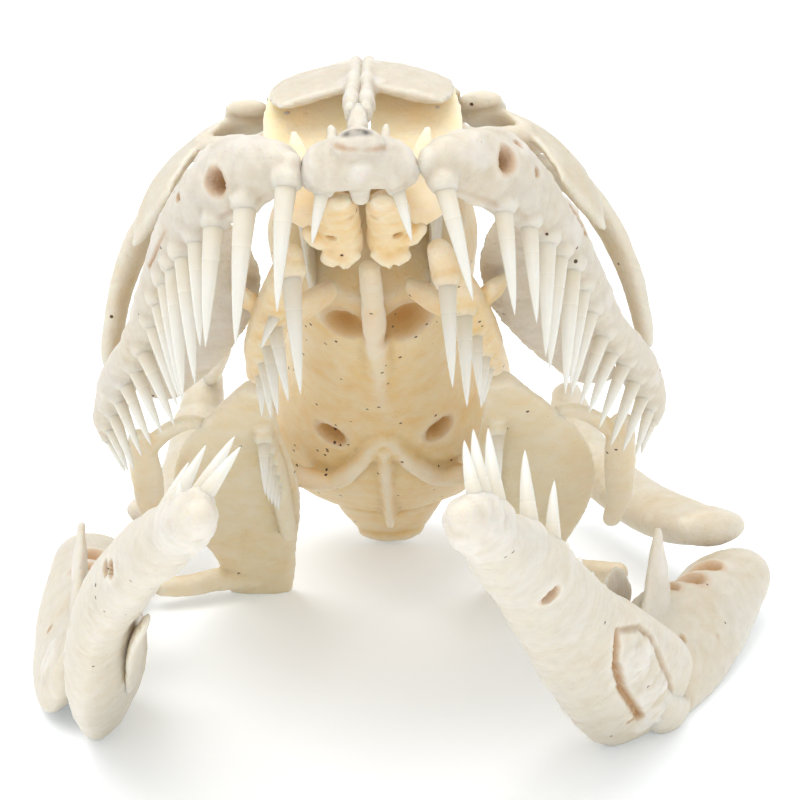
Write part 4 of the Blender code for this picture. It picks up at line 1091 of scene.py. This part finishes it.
# %% Quadrates
QUADRATE_SECTIONS = (
    (0, 1.5, 1.4), (0.22, 1.4, 1.3), (0.5, 1.5, 1.25), (0.78, 1.8, 1.1), (0.97, 2, 0.95),
)
QUADRATE_SAG = 1.1
QUADRATE_HEAD = ((0, 0, 0, 1.35, 1.2), (-0.1, 0.9, 1.2, 1.15, 0.95), (-0.3, 1.7, 2.2, 0.8, 0.6))
QUADRATES = (
    ("left", Vector((9.6, 26.6, 4.9)), Vector((15.9, 14.6, 4.45))),
    ("right", Vector((-10.3, 26.8, 5.6)), Vector((-10.8, 15.8, 4.6))),
)
WORLD = Matrix.Translation(CENTRING)


def make_quadrates():
    for side, top, bottom in QUADRATES:
        stations = []
        for share, wide, thick in QUADRATE_SECTIONS:
            centre = top.lerp(bottom, share)
            centre.z -= QUADRATE_SAG * 4 * share * (1 - share)
            stations.append((*centre, wide, thick))
        away = 1 if side == "left" else -1
        head = []
        for x, y, z, wide, thick in QUADRATE_HEAD:
            head.append((*(top + Vector((away * x, y, z))), wide, thick))
        build_bone(f"quadrate_{side}_bone", ["quadrate_" + side], [strand(stations), strand(head)], WORLD,
                   SKULL_BONE, "skull_bone", voxel=0.14, seed=171 if side == "left" else 177)


make_quadrates()

# %% [markdown]
# ## Lower jaws
# Each lower jaw bends at an elbow that rests on the floor.  The front half is the dentary, a bar
# that carries the tall front teeth and a row of worn stubs.  The rear half is the compound bone
# with the jaw joint, and a tongue of it fills the notch in the dentary.

# %% Lower jaw tables
DENTARY_BAR = (
    (0, -1.4, 3.3, 0.7, 1.5), (0, 0.6, 2.75, 1.1, 2.6), (-0.1, 3, 2.55, 1.25, 2.8),
    (-0.3, 7, 2.2, 1.3, 2.6), (-0.5, 13, 1.75, 1.2, 2.05), (-0.6, 17, 1.6, 1.15, 1.75),
    (-0.6, 20.5, 1.5, 1.05, 1.5), (-0.5, 23.5, 1.2, 1, 1.25), (-0.3, 26, 0.95, 0.95, 1),
    (-0.1, 28.1, 0.7, 0.75, 0.8), (0, 28.9, 0.65, 0.45, 0.5),
)
DENTARY_TEETH = {
    "left": (
        (0.985, 2.4, -1.15), (0.96, 2.9, -1.05), (0.915, 3.2, -0.97), (0.8, 3.2, -0.85),
        (0.715, 2.7, -0.7), (0.66, 0.9, -0.6), (0.6, 0.8, -0.55), (0.54, 0.7, -0.55), (0.48, 0.7, -0.55),
        (0.42, 0.6, -0.55), (0.36, 0.6, -0.55),
    ),
    "right": (
        (0.985, 2.5, -0.18), (0.93, 3.1, -0.13), (0.86, 1.3, 0.24), (0.785, 3.5, -0.08),
        (0.735, 3, -0.06), (0.66, 0.9, -0.1), (0.6, 0.8, -0.1), (0.54, 0.7, -0.1), (0.48, 0.7, -0.1),
        (0.42, 0.6, -0.1), (0.36, 0.6, -0.1),
    ),
}
DENTARY_RISE = (0.5, 0.68)
DENTARY_DENTS = {
    "left": (
        (0.62, 19.97, 1.5, 0.42, 0.7), (0.8, 14.5, 2.4, 0.16, 0.25), (0.95, 9.5, 3.6, 0.3, 0.4),
        (1.15, 3.6, 1.5, 0.22, 0.3),
    ),
    "right": (
        (0.3, 20.6, 0.7, 0.3, 0.6), (0.35, 19.9, 0.9, 0.28, 0.5), (0.6, 12, 1, 0.16, 0.25),
        (0.9, 6.5, 0.6, 0.2, 0.3),
    ),
}
DENTARY_SEAMS = {
    "left": (
        (((0.54, 12.5, 2.9), (0.81, 10.3, 2.16), (0.95, 7.7, 1.84), (1.11, 3.2, 1.86)), 0.2, 0.3, 0.85),
        (
            ((0.54, 12.5, 2.9), (0.31, 10.2, 3.83), (0.46, 8.3, 4), (0.76, 6.45, 3.84), (1.1, 2.5, 3.6)),
            0.16, 0.16, 0.35,
        ),
    ),
    "right": (
        (((0.9, 9, 1.2), (1.1, 6, 1), (1.2, 2, 1)), 0.18, 0.25, 0.7),
        (((0.9, 9, 1.6), (1.1, 6, 3), (1.2, 2, 3.4)), 0.14, 0.12, 0.3),
    ),
}
DENTARY_CRUSTS = {
    "left": (
        (0.85, 8.5, 3, 1.6, 0.28), (1, 5, 2.8, 1.5, 0.26), (1.1, 2, 2.4, 1.4, 0.2),
        (-0.3, 27.5, 0.9, 2.1, 0.16), (-0.6, 23.5, 2.2, 1.1, 0.12), (-0.6, 19.5, 2.8, 1.1, 0.1),
    ),
    "right": (
        (1, 6.5, 2, 1.5, 0.22), (1.1, 3, 2.2, 1.5, 0.22), (-0.3, 27.5, 0.9, 2.2, 0.16),
        (-0.6, 23, 2.2, 1.2, 0.14),
    ),
}
SPLENIAL = {
    "left": (
        (-1.95, 3, 1.6, 0.22, 0.85), (-2.25, 7.5, 1.5, 0.25, 0.95), (-2.3, 12, 1.1, 0.22, 0.66),
        (-2.25, 16, 0.8, 0.16, 0.32),
    ),
    "right": (
        (-1.3, 3.6, 2.3, 0.22, 0.7), (-1.75, 7.5, 1.9, 0.25, 0.85), (-1.95, 12, 1.3, 0.22, 0.62),
        (-2, 16, 0.9, 0.16, 0.32),
    ),
}
COMPOUND_BAR = (
    (0.9, 0.9, 3, 0.7, 1.3), (0.9, 2.6, 2.65, 1, 2.4), (0.9, 5, 2.5, 1.3, 2.8), (0.9, 8, 2.3, 1.5, 2.6),
    (0.7, 11, 2.1, 1.8, 2.2), (0.1, 13.4, 2, 2.3, 1.9), (-0.2, 15.2, 2, 2.4, 1.6),
    (-0.4, 16.8, 2, 1.8, 1.15), (-0.5, 18, 1.9, 0.9, 0.7),
)
COMPOUND_PEAK = ((0.5, 4.6, 4.4, 1.5, 0.45), (0.4, 4.9, 6.2, 1, 0.3), (0.25, 5.2, 8.1, 0.2, 0.15))
COMPOUND_DENTS = (
    (-0.1, 7.2, 5.3, 0.9, 0.6), (0, 9.5, 4.9, 1.1, 0.8), (0, 12, 4, 0.8, 0.5), (2, 4.6, 3.6, 0.3, 0.4),
    (2.2, 7.5, 2.6, 0.18, 0.25),
)
COMPOUND_CRUSTS = ((1.9, 2.2, 3.2, 1.2, 0.2), (0.4, 4.9, 6.6, 1.2, 0.08))
COMPOUND_TONGUE = {
    "left": (
        (0.75, 2.8, 3.15, 0.4, 0.5), (0.8, 0.8, 3, 0.6, 0.9), (0.75, -1.2, 3.1, 0.6, 1),
        (0.3, -2.3, 3.4, 0.6, 1), (-1, -3.3, 3.8, 0.6, 1),
    ),
    "right": (
        (0.75, 2.8, 3.15, 0.4, 0.5), (0.8, 0.8, 3, 0.6, 0.9), (0.85, -1.2, 3.1, 0.6, 1),
        (1.35, -2.3, 3.7, 0.6, 1), (2.3, -3.1, 4.3, 0.6, 0.95),
    ),
}
CORONOID = {
    "left": ((-1.3, 2.2, 4.2, 0.2, 0.6), (-1.55, 4.4, 4.6, 0.22, 1.6), (-1.75, 6.8, 3.9, 0.2, 0.75)),
    "right": ((-1.5, 4.9, 4.3, 0.2, 0.6), (-1.6, 6.6, 4.5, 0.22, 1.4), (-1.75, 8.8, 3.9, 0.2, 0.75)),
}
ANGULAR = {
    "left": ((-1, 0.9, 0.9, 0.18, 0.4), (-1.6, 3.2, 0.8, 0.22, 0.55), (-2.2, 6.4, 0.7, 0.18, 0.32)),
    "right": ((-0.5, 4.2, 0.7, 0.18, 0.35), (-0.6, 6.2, 0.7, 0.22, 0.45), (-0.8, 8.8, 0.6, 0.18, 0.32)),
}
JAWS = (
    ("left", 1, Vector((9.6, 0.2, -0.13)), Vector((3.1, -21.6, 17.7)), (0.73, 0.263, 0.63), 27, 0.3, 200),
    (
        "right", -1, Vector((-12.0, -0.3, -0.15)), Vector((-4.9, -21.5, 17.3)), (0.35, 0.3, 0.85), 8, 2.1,
        240,
    ),
)
print("dentary teeth:", {side: len(rows) for side, rows in DENTARY_TEETH.items()})

# %% [markdown]
# ## From the tables to the jaws
# Both halves of a jaw are written along straight lines.  The front half is then bowed outwards by a
# sine, as a real dentary is, and the compound's tongue is carried out of the front half's frame
# into the rear one's, so that one skin covers the whole bone.

# %% Build the jaws
def bowed(rows, bow):
    """Places of the front segment, bent outwards between the elbow and the tip."""
    reach = DENTARY_BAR[-1][1]
    bent = []
    for x, y, *rest in rows:
        share = min(max(y / reach, 0.0), 1.0)
        bent.append((x + bow * math.sin(math.pi * share), y, *rest))
    return bent


def carried(part, step):
    """A part moved from one segment's frame into the other's."""
    verts, faces = part
    if step.to_3x3().determinant() < 0:
        faces = [tuple(reversed(face)) for face in faces]
    return verts @ np.array(step.to_3x3()).T + np.array(step.translation), faces


def dentary_teeth(side, bar):
    teeth = []
    for share, length, inward in DENTARY_TEETH[side]:
        centre, height = along_bar(bar, share)
        base = centre + np.array((0.0, 0.0, height * SOCKET_SINK))
        radius = ROOT_RADIUS + 0.02 + RADIUS_PER_LENGTH * max(length, 1.5)
        teeth.append((base, (inward, *DENTARY_RISE), length, radius))
    return teeth


def make_front_segment(side, front, bow, seed):
    bar = bowed(DENTARY_BAR, bow)
    teeth = dentary_teeth(side, bar)
    seams = [(bowed(path, bow), *rest) for path, *rest in DENTARY_SEAMS[side]]
    crusts = bowed(DENTARY_CRUSTS[side], bow)
    build_bone(f"dentary_{side}_bone", ["dentary_" + side], [strand(bar)] + collars(teeth), front,
               JAW_BONE, "jaw_bone", voxel=0.13, lumpy=0.08, tooth=0.025, seed=seed,
               dents=bowed(DENTARY_DENTS[side], bow), grooves=seams, crusts=crusts)
    grow_teeth(f"dentary_{side}_teeth", "dentary_" + side, teeth, front, THROAT)
    build_bone(f"splenial_{side}_bone", ["splenial_" + side], [strand(bowed(SPLENIAL[side], bow))], front,
               JAW_BONE, "jaw_bone", voxel=0.1, seed=seed + 5)


def make_rear_segment(side, rear, front, bow, seed):
    body = [strand(COMPOUND_BAR, across=(1, 0, 0.55)), strand(COMPOUND_PEAK, across=(0, 1, 0))]
    body.append(carried(strand(bowed(COMPOUND_TONGUE[side], bow)), rear.inverted() @ front))
    build_bone(f"compound_{side}_bone", ["compound_" + side], body, rear, JAW_BONE, "jaw_bone",
               voxel=0.14, lumpy=0.09, seed=seed + 10, dents=COMPOUND_DENTS, crusts=COMPOUND_CRUSTS)
    for name, stations, step in (("coronoid", CORONOID[side], 15), ("angular", ANGULAR[side], 20)):
        build_bone(f"{name}_{side}_bone", [f"{name}_{side}"], [strand(stations)], rear,
                   JAW_BONE, "jaw_bone", voxel=0.1, seed=seed + step)


def make_jaws():
    for side, outward, elbow, tip, tooth_edge, splay, bow, seed in JAWS:
        front = jaw_frame(elbow, tip - elbow, tooth_edge, outward)
        turn = math.radians(splay)
        rear = jaw_frame(elbow, (outward * math.sin(turn), math.cos(turn), 0.0), (0, 0, 1), outward)
        make_front_segment(side, front, bow, seed)
        make_rear_segment(side, rear, front, bow, seed)


make_jaws()

# %% [markdown]
# ## Floor
# The skull stands on plain white paper.  A sheet four metres wide needs no bent backdrop: its far
# edge is lost in the white of the studio.  It glows faintly, so that only soft shadows are left.

# %% Floor
FLOOR_SIZE = 4.0


def make_floor():
    half = FLOOR_SIZE / 2
    corners = [(-half, -half, 0), (half, -half, 0), (half, half, 0), (-half, half, 0)]
    mesh = bpy.data.meshes.new("floor")
    mesh.from_pydata(corners, [], [(0, 1, 2, 3)])
    floor = add_object("floor", mesh)
    paper = bpy.data.materials.new("white_paper")
    paper.use_nodes = True
    tree = paper.node_tree
    shader = tree.nodes["Principled BSDF"]
    tone = blend(tree, noise_at(tree, 40.0, 2.0), (0.92, 0.92, 0.92, 1), (0.94, 0.94, 0.94, 1))
    tree.links.new(tone, shader.inputs["Base Color"])
    shader.inputs["Roughness"].default_value = 0.9
    shader.inputs["Specular IOR Level"].default_value = 0.1
    shader.inputs["Emission Color"].default_value = (0.76, 0.88, 1.0, 1.0)
    shader.inputs["Emission Strength"].default_value = 0.22
    mesh.materials.append(paper)
    print("floor:", FLOOR_SIZE, "m wide")


make_floor()

# %% [markdown]
# ## Light
# Specimens are lit from all round, so that no shadow hides a hole.  An even white world gives most
# of the light here, and two softboxes add the gentle shading that shows the shape.

# %% Light
def area_light(name, place, size, power):
    data = bpy.data.lights.new(name, "AREA")
    data.energy = power
    data.size = size
    lamp = add_object(name, data)
    lamp.location = place
    lamp.rotation_euler = (Vector((0, 0, 0.01)) - Vector(place)).to_track_quat("-Z", "Y").to_euler()


def make_light():
    world = bpy.data.worlds.new("studio")
    bpy.context.scene.world = world
    world.use_nodes = True
    sky = world.node_tree.nodes["Background"]
    sky.inputs["Color"].default_value = (0.965, 0.985, 1.0, 1.0)
    sky.inputs["Strength"].default_value = 0.82
    area_light("softbox_above", (-0.05, -0.04, 0.32), 0.30, 0.75)
    area_light("softbox_front", (0.08, -0.35, 0.14), 0.22, 0.14)
    bpy.context.scene.view_settings.view_transform = "Standard"
    print("lights:", len(bpy.data.lights))


make_light()

# %% [markdown]
# ## Camera
# The camera stands in front and a little above, and looks down on the agape mouth.  Its place and
# its long lens were fitted to landmarks in the photograph, such as the tip of the snout and the
# elbows of the jaws.  Guessing by eye would leave the rear bones at the wrong size.

# %% Camera
CAMERA_AT = Vector((3.3325, -85.2708, 41.3))
CAMERA_FORWARD = Vector((-0.02503, 0.95598, -0.29237))
CAMERA_RIGHT = Vector((0.99966, 0.02618, 0.0))
LENS = 99.0


def make_camera():
    data = bpy.data.cameras.new("camera")
    data.lens = LENS
    data.sensor_width = 36.0
    data.clip_start = 0.005
    camera = add_object("camera", data)
    up = CAMERA_RIGHT.cross(CAMERA_FORWARD)
    turn = Matrix((CAMERA_RIGHT, up, -CAMERA_FORWARD)).transposed().to_4x4()
    camera.matrix_world = Matrix.Translation((CAMERA_AT + CENTRING) * MM) @ turn
    bpy.context.scene.camera = camera
    print("camera:", LENS, "mm lens")


make_camera()
